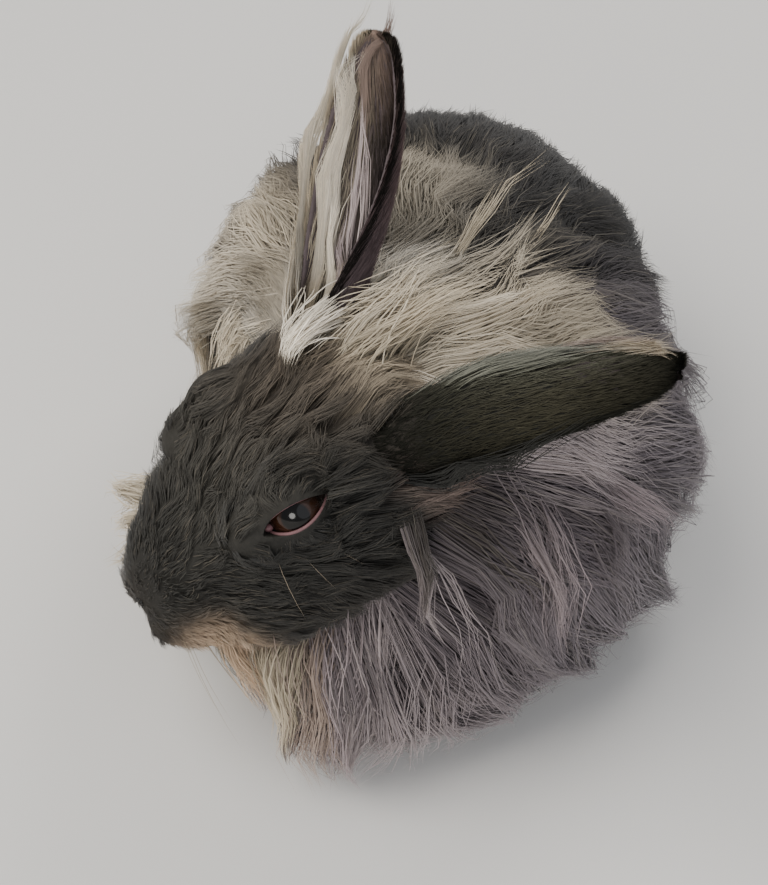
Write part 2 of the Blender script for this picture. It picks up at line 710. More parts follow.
@dataclass
class Ear:
    """One ear, a cupped shell that narrows to its tip."""

    side: str
    root: tuple
    points: tuple
    opens: tuple
    length: float = 0.076
    width: float = 0.032
    wall: float = 0.0026
    bend: float = 0.006
    coat_depth: float = 0.0003
    waist: float = 0.0
    waist_at: float = 0.26
    waist_reach: float = 0.22
    table: tuple = (
        (-0.12, 0.47, 160, 1.0),
        (0.04, 0.59, 150, 1.0),
        (0.2, 0.75, 122, 0.95),
        (0.38, 0.94, 100, 0.85),
        (0.58, 0.99, 88, 0.7),
        (0.76, 0.89, 82, 0.6),
        (0.9, 0.62, 80, 0.55),
        (0.97, 0.38, 80, 0.55),
        (1.0, 0.12, 80, 0.55),
    )

    def axes(self) -> tuple[Array, Array, Array]:
        """The ear's axes in the world: along it, the way it opens and across it."""
        along = unit(np.array(self.points))
        opening = np.array(self.opens)
        opening = unit(opening - along * (opening @ along))
        return along, opening, np.cross(along, opening)

    def point(self, share: Array, place: Array, inside: bool = False) -> tuple[Array, Array]:
        """Points of the ear's outer or inner face and the ways out of it.

        Args:
            share: from 0 at the root to 1 at the tip, and past it.
            place: round the section, from -1 at one rim over the back to 1 at the other.
            inside: whether the inner face is meant.

        Returns:
            The points and the unit ways out of the face.
        """
        share, place = np.broadcast_arrays(share, place)
        along, opening, across = self.axes()
        rows = read(self.table, share)
        s = rows[..., 0] + np.maximum(share - 1, 0)
        centre = POSE.out(self.root) + along * (s * self.length)[..., None]
        centre = centre - opening * (s * s * self.bend)[..., None]
        angle = np.radians(rows[..., 2]) * place
        radius = rows[..., 1] * self.width / 2 - self.coat_depth
        near = np.exp(-((share - self.waist_at) / self.waist_reach) ** 2)
        radius = radius * (1 - self.waist * near)
        out = across * np.sin(angle)[..., None] - opening * (np.cos(angle) * rows[..., 3])[..., None]
        if inside:
            radius = np.maximum(radius - self.wall * (1 - 0.5 * np.abs(place)), 0.0006)
            return centre + out * radius[..., None], -unit(out)
        return centre + out * radius[..., None], unit(out)

    def flesh(self) -> Shape:
        """The ear's shell."""
        share = np.linspace(0, 1, 60)[:, None]
        place = np.linspace(-1, 1, 40)[None]
        outer, _ = self.point(share, place)
        inner, _ = self.point(share, place, inside=True)
        return loft(np.concatenate([outer, inner[:, ::-1]], 1))


def make_ears() -> dict[str, Ear]:
    """Both ears, the left one out to the side and the right one up."""
    return {
        "left": Ear("left", (0.019, 0.023, 0.0135), (0.835, -0.113, 0.47), (0.05, -0.15, -0.98)),
        "right": Ear("right", (-0.016, 0.024, 0.017), (-0.01, 0.5, 0.86), (-0.68, -0.69, 0.25),
                     waist=0.24),
    }


@dataclass
class Limbs:
    """Haunches, feet and tail."""

    paw_length: float = 0.04
    foot_length: float = 0.074
    squareness: float = 2.4
    forearm_lean: float = 1.1
    coat_depth: float = 0.0012
    thigh: tuple = ((0.036, 0.042, 0.046), (0.03, 0.048, 0.042))
    thigh_coat: float = 0.0055
    tail: tuple = ((0.0, 0.106, 0.044), (0.014, 0.013, 0.021))
    tail_coat: float = 0.005
    paw_toe: tuple = (0.021, -0.072, 0.0)
    foot_toe: tuple = (0.044, -0.012, 0.0)
    toe_places: tuple = (-0.0062, -0.0021, 0.0021, 0.0062)
    toe_radii: tuple = (0.0026, 0.0062, 0.0036)
    toe_arc: float = 40
    paw_toes_back: float = 0.0058
    foot_toes_back: float = 0.0066
    foreleg: tuple = (
        (0.0, 0.0, 0.003, 0.006),
        (0.1, 0.0, 0.0065, 0.0085),
        (0.35, 0.0, 0.008, 0.01),
        (0.65, 0.001, 0.0105, 0.01),
        (0.85, 0.006, 0.02, 0.0105),
        (0.95, 0.016, 0.033, 0.012),
        (1.0, 0.028, 0.048, 0.014),
    )
    hindfoot: tuple = (
        (0.0, -0.0008, 0.004, 0.006),
        (0.04, -0.0018, 0.009, 0.01),
        (0.22, -0.0026, 0.013, 0.0125),
        (0.49, -0.003, 0.015, 0.0125),
        (0.76, -0.0032, 0.016, 0.0115),
        (0.93, -0.002, 0.013, 0.009),
        (1.0, 0.002, 0.007, 0.0035),
    )

    def leg(self, table: tuple, toe: Array, length: float, lean: float) -> Shape:
        """A foot from its toes back, as a loft that is flat on the floor.

        Args:
            table: share of the length, lowest, highest and half width, row by row.
            toe: where the toes are.
            length: the foot's length.
            lean: how far the last rings lean back, in radians.

        Returns:
            The shape.
        """
        rows = read(table, np.linspace(0, 1, 40))
        angle = np.linspace(0, 2 * math.pi, 40, endpoint=False)[None, :, None]
        share = rows[:, 0]
        tilt = lean * np.clip((share - 0.55) / 0.4, 0, 1)
        up = np.stack([0 * tilt, -np.sin(tilt), np.cos(tilt)], 1)[:, None]
        centre = toe + np.stack([0 * share, share * length, (rows[:, 1] + rows[:, 2]) / 2], 1)
        c, s = power(np.cos(angle), 2 / self.squareness), power(np.sin(angle), 2 / self.squareness)
        half = np.maximum(rows[:, 3] - self.coat_depth, 0.001)[:, None, None]
        tall = np.maximum((rows[:, 2] - rows[:, 1]) / 2 - self.coat_depth, 0.001)[:, None, None]
        rings = centre[:, None] + LEFT * c * half + up * s * tall
        rings[..., 2] = np.maximum(rings[..., 2], 0.0004)
        return loft(rings)

    def paw(self, sign: float) -> list[Shape]:
        """A forepaw with its forearm and toes."""
        toe = sided(self.paw_toe, sign)
        made = [self.leg(self.foreleg, toe, self.paw_length, self.forearm_lean)]
        return made + self.toes(toe, self.paw_toes_back)

    def foot(self, sign: float) -> list[Shape]:
        """A hind foot with its toes."""
        toe = sided(self.foot_toe, sign)
        made = [self.leg(self.hindfoot, toe, self.foot_length, 0.0)]
        return made + self.toes(toe, self.foot_toes_back)

    def toes(self, toe: Array, back: float) -> list[Shape]:
        """The rounded ends of four toes side by side."""
        made = []
        for place in self.toe_places:
            behind = back + self.toe_arc * place * place
            spot = toe + np.array((place, behind, self.toe_radii[2] + 0.0006))
            made.append(ellipsoid(spot, self.toe_radii))
        return made

    def haunch(self, sign: float) -> Shape:
        """The bulge over a folded hind leg."""
        return ellipsoid(sided(self.thigh[0], sign), np.array(self.thigh[1]) - self.thigh_coat, None, 44)

    def tail_flesh(self) -> Shape:
        """The tail under its coat."""
        return ellipsoid(self.tail[0], np.array(self.tail[1]) - self.tail_coat)


@dataclass
class Strands:
    """Many tapered strands of coat: each a line of points with the ways out of the coat along it."""

    paths: Array
    outs: Array
    width: Array
    tint: Array
    chance: Array

    def kept(self, keep: Array) -> "Strands":
        """Only the strands that keep picks."""
        return Strands(*[getattr(self, name)[keep] for name in STRAND_PARTS])

    def triangles(self) -> int:
        """How many triangles the strands take."""
        return len(self.paths) * (4 * self.paths.shape[1] - 6)


STRAND_PARTS = ("paths", "outs", "width", "tint", "chance")


def together(parts: Sequence[Strands]) -> Strands:
    """Strands of equal point counts as one set."""
    return Strands(*[np.concatenate([getattr(part, name) for part in parts]) for name in STRAND_PARTS])


class Swirl:
    """A smooth field of ways that bends neighbouring strands alike, so that they part into locks."""

    def __init__(self, size: float, seed: int, waves: int = 10) -> None:
        """Draws the field's waves, each about size long."""
        draw = np.random.default_rng(seed)
        turns = unit(draw.normal(0, 1, (waves, 3))) * draw.uniform(0.6, 1.5, (waves, 1))
        self.turns = turns * 2 * math.pi / size
        self.phases = draw.uniform(0, 2 * math.pi, waves)
        self.ways = draw.normal(0, 1, (waves, 3)) / math.sqrt(waves)

    def at(self, points: Array) -> Array:
        """The field at points."""
        return np.sin(points @ self.turns.T + self.phases) @ self.ways


LOCKS = Swirl(0.022, 11)
CURLS = Swirl(0.009, 12)


def swirled(paths: Array, outs: Array, broad: float, fine: float) -> Array:
    """Paths bent towards their tips by shares of both fields, but never into the surface below."""
    t = np.linspace(0, 1, paths.shape[1])[None, :, None]
    length = np.linalg.norm(paths[:, -1] - paths[:, 0], axis=1)[:, None, None]
    bend = (LOCKS.at(paths) * broad * t ** 1.2 + CURLS.at(paths) * fine * t ** 0.8) * length
    return paths + bend - outs * np.minimum((bend * outs).sum(-1, keepdims=True), 0)


@dataclass
class Clumps:
    """How strands gather into locks, and how much they differ."""

    gather: float = 0.6
    frizz: float = 0.0006
    clump_tone: float = 0.14
    strand_tone: float = 0.2
    streak_share: float = 0.0
    streak: Tone = Tone.CREAM
    streak_mix: float = 0.7

    def shade(self, tint: Array, clump: Array, draw: np.random.Generator) -> Array:
        """Tints varied by clump, by the clump's number at each strand, and by strand."""
        by_clump = draw.normal(0, self.clump_tone, clump.max() + 1)[clump]
        by_strand = draw.normal(0, self.strand_tone, len(clump))
        made = tint * np.exp(by_clump + by_strand)[:, None]
        streaky = (draw.random(len(clump)) < self.streak_share)[:, None]
        return np.where(streaky, made + (self.streak.linear() - made) * self.streak_mix, made)

    def wave(self, count: int, steps: int, draw: np.random.Generator) -> Array:
        """Small sideways bends of each strand that grow towards its tip."""
        t = np.linspace(0, 1, steps)[None, :, None]
        swing = draw.normal(0, 1, (count, 1, 3)) * t ** 1.5
        ripple = draw.normal(0, 0.5, (count, 1, 3)) * np.sin(math.pi * 2 * t + draw.random((count, 1, 1)) * 6)
        return (swing + ripple * t) * self.frizz


@dataclass
class Comb:
    """Coat of one region, combed over a surface from clump to clump."""

    name: str
    form: Shape
    clumps: int
    strands: int
    length: Callable[[Array], Array]
    lift: float
    width: float
    flow: Callable[[Array, Array], Array]
    tint: Callable[[Array], Array]
    keep: Optional[Callable[[Array, Array], Array]] = None
    steps: int = 4
    sink: float = 0.0006
    rise: float = 0.8
    habit: Clumps = field(default_factory=Clumps)
    swirl: tuple = (0.14, 0.07)

    def grow(self, ground: Ground, others: Sequence[Ground], draw: np.random.Generator) -> Strands:
        """Grows the region's strands.

        Args:
            ground: the surface they root in.
            others: surfaces that hide roots inside them.
            draw: the seeded source of places and differences.

        Returns:
            The strands.
        """
        roots, normals = self.rooted(self.form.scatter(self.clumps, draw), ground, others)
        count = len(roots)
        length = self.length(roots) * draw.uniform(*LENGTH_VARIETY, count)
        paths, outs = self.combed(roots, normals, length, ground, draw)
        starts, start_normals = self.rooted(self.form.scatter(self.strands, draw), ground, others)
        tree = KDTree(count)
        for number, root in enumerate(roots):
            tree.insert(root, number)
        tree.balance()
        clump = np.array([tree.find(place)[1] for place in starts])
        t = np.linspace(0, 1, self.steps)[None, :, None]
        lead = paths[clump] - paths[clump][:, :1]
        scale = draw.uniform(0.75, 1.1, (len(clump), 1, 1))
        start = starts - start_normals * self.sink
        made = start[:, None] + lead * scale
        pull = (roots[clump] - starts)[:, None] * (self.habit.gather * t ** 1.3)
        made = made + pull + self.habit.wave(len(clump), self.steps, draw)
        made = swirled(made, outs[clump], *self.swirl)
        tint = self.tint(made[:, self.steps // 2])
        tint = self.habit.shade(tint, clump, draw)
        width = self.width * draw.uniform(*WIDTH_VARIETY, len(clump))
        return Strands(made, outs[clump], width, tint, draw.random(len(clump)))

    def rooted(self, places: Array, ground: Ground, others: Sequence[Ground]) -> tuple[Array, Array]:
        """Roots on the surface near the places, without those another surface hides."""
        spots, normals, _ = ground.nearest(places)
        keep = np.linalg.norm(spots - places, axis=1) < ROOT_SNAP
        for other in others:
            keep &= other.depth(spots) < ROOT_COVER
        if self.keep:
            keep &= self.keep(spots, normals)
        return spots[keep], normals[keep]

    def combed(self, roots: Array, normals: Array, length: Array, ground: Ground,
               draw: np.random.Generator) -> tuple[Array, Array]:
        """Guide lines that run over the surface along the lie.

        Args:
            roots: where they start.
            normals: the surface's normals there.
            length: how long each is.
            ground: the surface.
            draw: the seeded source of differences.

        Returns:
            Their points and the ways out at them.
        """
        here, out = roots, normals
        paths, outs = [roots], [normals]
        sway = draw.normal(0, 0.22, (len(roots), 1))
        lift = self.lift * draw.uniform(0.7, 1.3, len(roots))
        for i in range(1, self.steps):
            t = i / (self.steps - 1)
            way = self.flow(here, out)
            way = unit(way - out * dots(way, out))
            way = unit(way + np.cross(out, way) * sway)
            here, out, _ = ground.nearest(here + way * (length / (self.steps - 1))[:, None])
            paths.append(here + out * (lift * length * t ** self.rise)[:, None])
            outs.append(out)
        return np.stack(paths, 1), np.stack(outs, 1)


def shortened(strands: Strands) -> Array:
    """The strands' lines, each drawn in towards its root where it would reach too far to a side."""
    paths = strands.paths
    most = np.abs(paths[..., 0] + SHIFT[0]).max(1)
    root = np.abs(paths[:, 0, 0] + SHIFT[0])
    limit = SIDE_REACH - SIDE_VARIETY * strands.chance
    share = np.clip((limit - root) / np.maximum(most - root, 1e-9), SIDE_LEAST, 1)
    share = np.where(most > limit, share, 1.0)
    return paths[:, :1] + (paths - paths[:, :1]) * share[:, None, None]


def steady(way: tuple, spread: float = 0.0) -> Callable[[Array, Array], Array]:
    """A lie that is the same at all points, but for a turn out to the sides."""
    def flow(points: Array, normals: Array) -> Array:
        """The lie at points."""
        made = np.tile(way, (len(points), 1))
        made[:, 0] += points[:, 0] * spread
        return made
    return flow


def even(length: float) -> Callable[[Array], Array]:
    """A coat length that is the same at all points."""
    return lambda points: np.full(len(points), length)


def strand_object(name: str, strands: Strands, unwrap: SkinMap,
                  material: bpy.types.Material) -> bpy.types.Object:
    """A mesh of ridged strands, its colours and its UV map.

    Args:
        name: the piece's name.
        strands: what it holds.
        unwrap: gives each strand its place in the UV map.
        material: its finish.

    Returns:
        The object.
    """
    paths, outs = shortened(strands), strands.outs
    paths[..., 2] = np.maximum(paths[..., 2], FLOOR_GAP)
    count, steps = paths.shape[:2]
    t = np.linspace(0, 1, steps)
    along = unit(np.gradient(paths, axis=1))
    across = unit(np.cross(along, outs))
    ridge = np.cross(across, along)
    taper = np.interp(t, *TAPER)
    half = strands.width[:, None, None] / 2 * taper[None, :, None]
    body = slice(0, steps - 1)
    columns = np.stack([(paths + across * half)[:, body], (paths - across * half)[:, body],
                        (paths + ridge * half * RIDGE_HEIGHT)[:, body]], 2)
    points = np.concatenate([columns.reshape(count, -1, 3), paths[:, -1:]], 1)
    leans = (across * SIDE_LEAN, -across * SIDE_LEAN, ridge * RIDGE_LEAN)
    sides = np.stack([(outs + lean)[:, body] for lean in leans], 2)
    normals = unit(np.concatenate([sides.reshape(count, -1, 3), outs[:, -1:]], 1))
    faces = []
    tip = 3 * (steps - 1)
    for a, b in ((1, 2), (2, 0)):
        for k in range(0, tip - 3, 3):
            faces += [(k + a, k + b, k + b + 3), (k + a, k + b + 3, k + a + 3)]
        faces.append((tip - 3 + a, tip - 3 + b, tip))
    faces = np.array(faces)
    a, b, c = np.moveaxis(points[0][faces], 1, 0)
    if (np.cross(b - a, c - a) @ outs[0, 0]).sum() < 0:
        faces = faces[:, ::-1]
    each = points.shape[1]
    triangles = (faces[None] + (np.arange(count) * each)[:, None, None]).reshape(-1, 3)
    mesh = bpy.data.meshes.new(name)
    fill_mesh(mesh, points.reshape(-1, 3) + SHIFT, triangles)
    mesh.materials.append(material)
    level = np.append(np.repeat(t[:-1], 3), 1.0)
    column = np.append(np.tile((1.0, -1.0, 0.0), steps - 1), 0.0)
    place = unwrap.places(paths[:, 0])
    patch = np.stack([column * UV_PATCH / 2, (level - 0.5) * UV_PATCH], 1)
    uv = (place[:, None] + patch[None]).reshape(-1, 2)
    layer = mesh.uv_layers.new(name="OFBake", do_init=False)
    layer.uv.foreach_set("vector", uv[triangles.ravel()].astype(np.float32).ravel())
    tint = np.concatenate([strands.tint, np.ones((count, 1))], 1)
    put(mesh, "tint", "FLOAT_COLOR", np.repeat(tint, each, axis=0))
    put(mesh, "along", "FLOAT", np.tile(level, count))
    put(mesh, "chance", "FLOAT", np.repeat(strands.chance, each))
    mesh.normals_split_custom_set_from_vertices(normals.reshape(-1, 3).tolist())
    return linked(name, mesh)


def put(mesh: bpy.types.Mesh, name: str, kind: str, values: Array) -> None:
    """Stores a value at each point of a mesh under a name."""
    made = mesh.attributes.new(name, kind, "POINT")
    slot = "color" if kind == "FLOAT_COLOR" else "value"
    made.data.foreach_set(slot, np.asarray(values, np.float32).ravel())


@dataclass
class Wisp:
    """A lock placed by hand: its root, middle, tip, spread and width in millimetres, and its strands."""

    root: tuple
    middle: tuple
    tip: tuple
    strands: int
    spread: float
    tone: Tone
    width: float = 0.3
    gather: float = 0.84
    sway: float = 0.08

    def grow(self, grounds: dict[str, Ground], draw: np.random.Generator, steps: int = 6) -> Strands:
        """The lock's strands, rooted in the nearer of the skin's surfaces."""
        t = np.linspace(0, 1, steps)[None, :, None]
        root, middle, tip = metres((self.root, self.middle, self.tip))
        lead = root * (1 - t) ** 2 + middle * 2 * t * (1 - t) + tip * t ** 2
        offset = draw.normal(0, metres(self.spread), (self.strands, 1, 3)) * (1 - self.gather * t)
        fray = draw.normal(0, 0.28, (self.strands, 1, 3)) * np.linalg.norm(tip - root)
        fray = fray * (1.05 - self.gather) * t ** 1.5
        scale = draw.uniform(0.5, 1.05, (self.strands, 1, 1))
        paths = root + (lead - root) * scale + offset + fray
        found = [ground.nearest(paths[:, 0])[0] for ground in grounds.values()]
        near = np.stack([np.linalg.norm(spots - paths[:, 0], axis=1) for spots in found])
        spots = np.stack(found)[near.argmin(0), np.arange(self.strands)]
        paths = paths + (spots - paths[:, 0])[:, None] * (1 - t) ** 2
        outs = np.broadcast_to(unit(UP + 0.3 * np.array((0.3, -0.9, 0))), paths.shape)
        paths = swirled(paths, outs, self.sway, self.sway * 0.3)
        tint = self.tone.linear()[None] * np.exp(draw.normal(0, 0.15, (self.strands, 1)))
        width = metres(self.width) * draw.uniform(0.7, 1.2, self.strands)
        return Strands(paths, outs.copy(), width, tint, draw.random(self.strands))


@dataclass
class ManeCoat:
    """The long wool round the neck, from the cheeks to the shoulders."""

    mane: Mane
    clumps: int = 2100
    strands: int = 52500
    locks: int = 260
    bunch: float = 0.5
    lock_tone: float = 0.16
    back: tuple = (0.06, 0.16)
    top_back: float = 0.13
    fall: tuple = (0.52, 0.86)
    sweep: float = 0.5
    parting: float = 2.0
    tip: tuple = (0.82, 1.0)
    width: float = 0.0003
    steps: int = 5
    swirl: tuple = (0.12, 0.035)
    face_back: float = 0.012
    face_low: float = -0.026
    latest_start: float = 0.75
    samples: int = 9
    back_stray: float = 0.014
    fall_stray: float = 0.05
    scatter: tuple = (0.014, 0.07)
    rise: tuple = ((0.0, 0.0), (0.17, 0.5), (0.4, 0.84), (1.0, 1.0))
    habit: Clumps = field(default_factory=lambda: Clumps(0.66, 0.0006, 0.08, 0.1, 0.12, Tone.CREAM, 0.12))

    def grow(self, grounds: dict[str, Ground], draw: np.random.Generator) -> Strands:
        """Grows the mane.

        Args:
            grounds: the skin's head and body surfaces.
            draw: the seeded source of places and differences.

        Returns:
            The strands.
        """
        share, angle = self.places(self.clumps, draw)
        count = len(share)
        lock, lock_share, lock_angle = self.bunches(share, angle, draw)
        top = np.clip(np.sin(angle), 0, 1) ** 2
        crown = top * np.clip(1.2 - share * 1.6, 0, 1) * np.clip((self.parting - angle) / 0.4, 0, 1)
        back = draw.uniform(*self.back, self.locks)[lock] + draw.normal(0, self.back_stray, count)
        back = back * (0.2 + share * 1.6)
        back = back + self.top_back * top * np.clip((0.85 - share) / 0.2, 0, 1)
        low = np.clip((np.sin(angle) + 0.75) / 0.6, 0.2, 1)
        turn = draw.uniform(*self.fall, self.locks)[lock] + draw.normal(0, self.fall_stray, count)
        fall = -np.cos(angle) * turn * (1 - 0.45 * top) * low
        fall = fall - self.sweep * crown * draw.uniform(0.6, 1.3, self.locks)[lock]
        tip = draw.uniform(*self.tip, self.locks)[lock] * draw.uniform(0.92, 1.03, count)
        each = self.strands // count
        clump = np.repeat(np.arange(count), each)
        n = len(clump)
        near = draw.normal(0, 1, (2, n))
        own_share = share[clump] + near[0] * self.scatter[0]
        own_angle = angle[clump] + near[1] * self.scatter[1]
        last = self.samples - 1
        fine = np.linspace(0, 1, self.samples)[None]
        rise = np.interp(fine, *np.array(self.rise).T)
        hold = 1 - self.habit.gather * fine ** 1.4
        s = share[clump][:, None] + (own_share - share[clump])[:, None] * hold
        s = s + back[clump][:, None] * fine + lock_share[clump][:, None] * fine ** 1.5
        a = angle[clump][:, None] + (own_angle - angle[clump])[:, None] * hold
        a = a + fall[clump][:, None] * fine ** 2 + lock_angle[clump][:, None] * fine ** 1.5
        k = rise * (tip[clump] * draw.uniform(0.86, 1.04, n))[:, None]
        lines = self.mane.point(s, a, k)
        ways = unit(self.mane.point(s, a, k + 0.3) - self.mane.point(s, a, k - 0.3))
        start = self.first_outside(lines, grounds)
        keep = start < self.latest_start
        exit_at = lines[np.arange(n), np.minimum((start * last).astype(int) + 1, last)]
        local = POSE.back(exit_at)
        keep &= (local[:, 1] > self.face_back) | (local[:, 2] < self.face_low) | (start <= 0)
        lines, ways, start, clump = lines[keep], ways[keep], start[keep], clump[keep]
        paths, outs = self.resampled(lines, ways, start)
        paths = swirled(paths + self.habit.wave(len(paths), self.steps, draw), outs, *self.swirl)
        paths[..., 2] = np.maximum(paths[..., 2], 0.0006)
        tint = marked(paths[:, -2] * 0.5 + paths[:, -1] * 0.5, MANE_MARKINGS)
        tint = tint * np.exp(draw.normal(0, self.lock_tone, self.locks))[lock[clump]][:, None]
        _, clump = np.unique(clump, return_inverse=True)
        tint = self.habit.shade(tint, clump, draw)
        width = self.width * draw.uniform(0.65, 1.25, len(paths))
        return Strands(paths, outs, width, tint, draw.random(len(paths)))

    def bunches(self, share: Array, angle: Array, draw: np.random.Generator) -> tuple[Array, Array, Array]:
        """Each clump's larger lock, and how far its tip moves towards it along and round the mane."""
        lock_share, lock_angle = self.places(self.locks, draw)
        middle = np.array(0.6)
        here, there = self.mane.point(share, angle, middle), self.mane.point(lock_share, lock_angle, middle)
        lock = np.linalg.norm(here[:, None] - there[None], axis=2).argmin(1)
        turn = (lock_angle[lock] - angle + math.pi) % (2 * math.pi) - math.pi
        return lock, (lock_share[lock] - share) * self.bunch, turn * self.bunch

    def places(self, count: int, draw: np.random.Generator) -> tuple[Array, Array]:
        """Places spread evenly over the mane's mid surface."""
        share = np.linspace(0.02, 0.93, 60)
        angle = np.linspace(0, 2 * math.pi, 120, endpoint=False)
        grid = self.mane.point(share[:, None], angle[None], np.array(0.45))
        one = np.roll(grid, -1, 1) - grid
        other = np.gradient(grid, axis=0)
        area = np.linalg.norm(np.cross(one, other), axis=-1)
        pick = draw.choice(area.size, count, p=(area / area.sum()).ravel())
        row, column = np.unravel_index(pick, area.shape)
        row = share[row] + draw.uniform(-0.5, 0.5, count) * (share[1] - share[0])
        column = angle[column] + draw.uniform(-0.5, 0.5, count) * (angle[1] - angle[0])
        return row, column

    def first_outside(self, lines: Array, grounds: dict[str, Ground]) -> Array:
        """The share of each line at which it leaves the skin."""
        count, steps = lines.shape[:2]
        start = np.zeros(count)
        going = np.ones(count, bool)
        for k in range(steps):
            index = np.nonzero(going)[0]
            if not len(index):
                break
            inside = np.zeros(len(index), bool)
            for ground in grounds.values():
                inside |= ground.depth(lines[index, k]) > 0.0004
            start[index[inside]] = (k + 0.4) / (steps - 1)
            going[index[~inside]] = False
        start[going] = 1.0
        return start

    def resampled(self, lines: Array, ways: Array, start: Array) -> tuple[Array, Array]:
        """The lines from their start to their end, at the coat's own number of points."""
        last = lines.shape[1] - 1
        t = np.linspace(0, 1, self.steps)[None] ** 0.65
        place = (start[:, None] + (1 - start[:, None]) * t) * last
        k = np.minimum(place.astype(int), last - 1)
        mix = (place - k)[..., None]
        row = np.arange(len(lines))[:, None]
        paths = lines[row, k] * (1 - mix) + lines[row, k + 1] * mix
        return paths, unit(ways[row, k] * (1 - mix) + ways[row, k + 1] * mix)


@dataclass
class EarCoat:
    """Fur of one ear: short on its back, longer inside, a fringe on its rims and long locks.

    The patch is a tone with its middle and its reach, both as a place round the section and a share.
    """

    ear: Ear
    back_tones: tuple
    inner_tones: tuple
    rim_tones: tuple
    patch: tuple
    back_strands: int = 8000
    inner_strands: int = 3200
    rim_strands: int = 1100
    steps: int = 3

    def grow(self, draw: np.random.Generator) -> Strands:
        """Grows the short fur of both faces and of the rims."""
        rows = [(self.back_strands, (-1, 1), False, 0.0052, 0.0008, self.back_tones, 0.00024),
                (self.inner_strands, (-0.95, 0.95), True, 0.007, 0.0012, self.inner_tones, 0.00022)]
        rim = self.rim_strands // 2
        for side, tone in zip((-1, 1), self.rim_tones):
            rows.append((rim, (side * 0.92, side), False, 0.0065, 0.0018, (tone,) * 3, 0.00024))
        return together([self.laid(draw, *row) for row in rows])

    def laid(self, draw: np.random.Generator, count: int, places: tuple, inside: bool, length: float,
             lift: float, tones: tuple, width: float) -> Strands:
        """Strands that lie along a face of the ear towards its tip.

        Args:
            draw: the seeded source of places and differences.
            count: how many.
            places: the places round the section that they lie between.
            inside: whether they grow on the inner face.
            length: a strand's length.
            lift: how far its tip stands off.
            tones: its colours at the ear's root, middle and tip.
            width: its width.

        Returns:
            The strands.
        """
        share = draw.uniform(0.06, 0.97, count)
        place = draw.uniform(min(places), max(places), count)
        t = np.linspace(0, 1, self.steps)
        reach = length / self.ear.length * draw.uniform(0.7, 1.2, count)
        reach = np.minimum(reach, 1.0 - share)
        straight = (np.clip((share - 0.5) / 0.2, 0, 1) * 0.55)[:, None]
        ahead = np.minimum(length, (1.01 - read(self.ear.table, share)[:, 0]) * self.ear.length)
        drift = draw.normal(0, 0.05, count)
        axis, _, _ = self.ear.axes()
        first, _ = self.ear.point(share, place, inside)
        paths, outs = [], []
        for step in t:
            p, out = self.ear.point(share + reach * step, np.clip(place + drift * step, -1, 1), inside)
            level = first + axis * (ahead * step)[:, None]
            p = p + (level - p) * straight
            paths.append(p + out * (lift * step - 0.0003 * (1 - step)))
            outs.append(out)
        paths = np.stack(paths, 1) + draw.normal(0, 0.0003, (count, 1, 3)) * t[None, :, None]
        colours = np.array([tone.linear() for tone in tones])
        tint = np.stack([np.interp(share, (0.15, 0.5, 0.95), colours[:, k]) for k in range(3)], 1)
        tone, middle, reach = self.patch
        near = np.exp(-(((place - middle[0]) / reach[0]) ** 2 + ((share - middle[1]) / reach[1]) ** 2))
        near = (near * draw.uniform(0.5, 1.0, count))[:, None]
        tint = tint + (tone.linear() - tint) * near
        tint = tint * np.exp(draw.normal(0, 0.18, (count, 1)))
        return Strands(paths, np.stack(outs, 1), np.full(count, width), tint, draw.random(count))

    def locks(self, draw: np.random.Generator, rows: Sequence[tuple], steps: int = 6) -> Strands:
        """Long locks along the ear.

        Args:
            draw: the seeded source of places and differences.
            rows: whether it grows on the inner face, its first and last place round the section,
                first and last share of the ear, lift, strands, spread and tone.
            steps: points along each strand.

        Returns:
            The strands.
        """
        made = []
        t = np.linspace(0, 1, steps)
        for inside, place, end, first, last, lift, count, spread, tone in rows:
            near = draw.normal(0, spread, (2, count))
            long = draw.uniform(0.55, 1.05, count)
            paths, outs = [], []
            for step in t:
                share = first + near[0] * 2 + (last - first) * step * long
                here = place + (end - place) * step * long + near[1] * 2.5 * (1 - 0.7 * step)
                p, out = self.ear.point(share, here, inside)
                paths.append(p + out * (lift * step ** 0.7 - 0.0004 * (1 - step)))
                outs.append(out)
            paths = np.stack(paths, 1) + draw.normal(0, 0.0005, (count, 1, 3)) * (t ** 1.5)[None, :, None]
            outs = np.stack(outs, 1)
            paths = swirled(paths, outs, 0.05, 0.016)
            tint = tone.linear()[None] * np.exp(draw.normal(0, 0.12, (count, 1)))
            made.append(Strands(paths, outs, np.full(count, 0.0003), tint, draw.random(count)))
        return together(made)


def shader_group(name: str, inputs: Sequence[tuple], outputs: Sequence[tuple]) -> tuple:
    """A new shader node group with named sockets.

    Args:
        name: the group's name.
        inputs: socket name, socket type and default, one by one.
        outputs: socket name and socket type, one by one.

    Returns:
        The group, its input node and its output node.
    """
    made = bpy.data.node_groups.new(name, "ShaderNodeTree")
    for label, kind, value in inputs:
        socket = made.interface.new_socket(name=label, in_out="INPUT", socket_type=kind)
        socket.default_value = value
    for label, kind in outputs:
        made.interface.new_socket(name=label, in_out="OUTPUT", socket_type=kind)
    return made, made.nodes.new("NodeGroupInput"), made.nodes.new("NodeGroupOutput")


def set_inputs(node: bpy.types.Node, values: dict) -> None:
    """Sets a node's inputs by name or number."""
    for label, value in values.items():
        node.inputs[label].default_value = value


def add(tree: bpy.types.NodeTree, kind: str, values: Optional[dict] = None,
        operation: str = "") -> bpy.types.Node:
    """A new node of a kind, with its inputs by name or number and what a math node does."""
    made = tree.nodes.new(kind)
    if operation:
        made.operation = operation
    set_inputs(made, values or {})
    return made


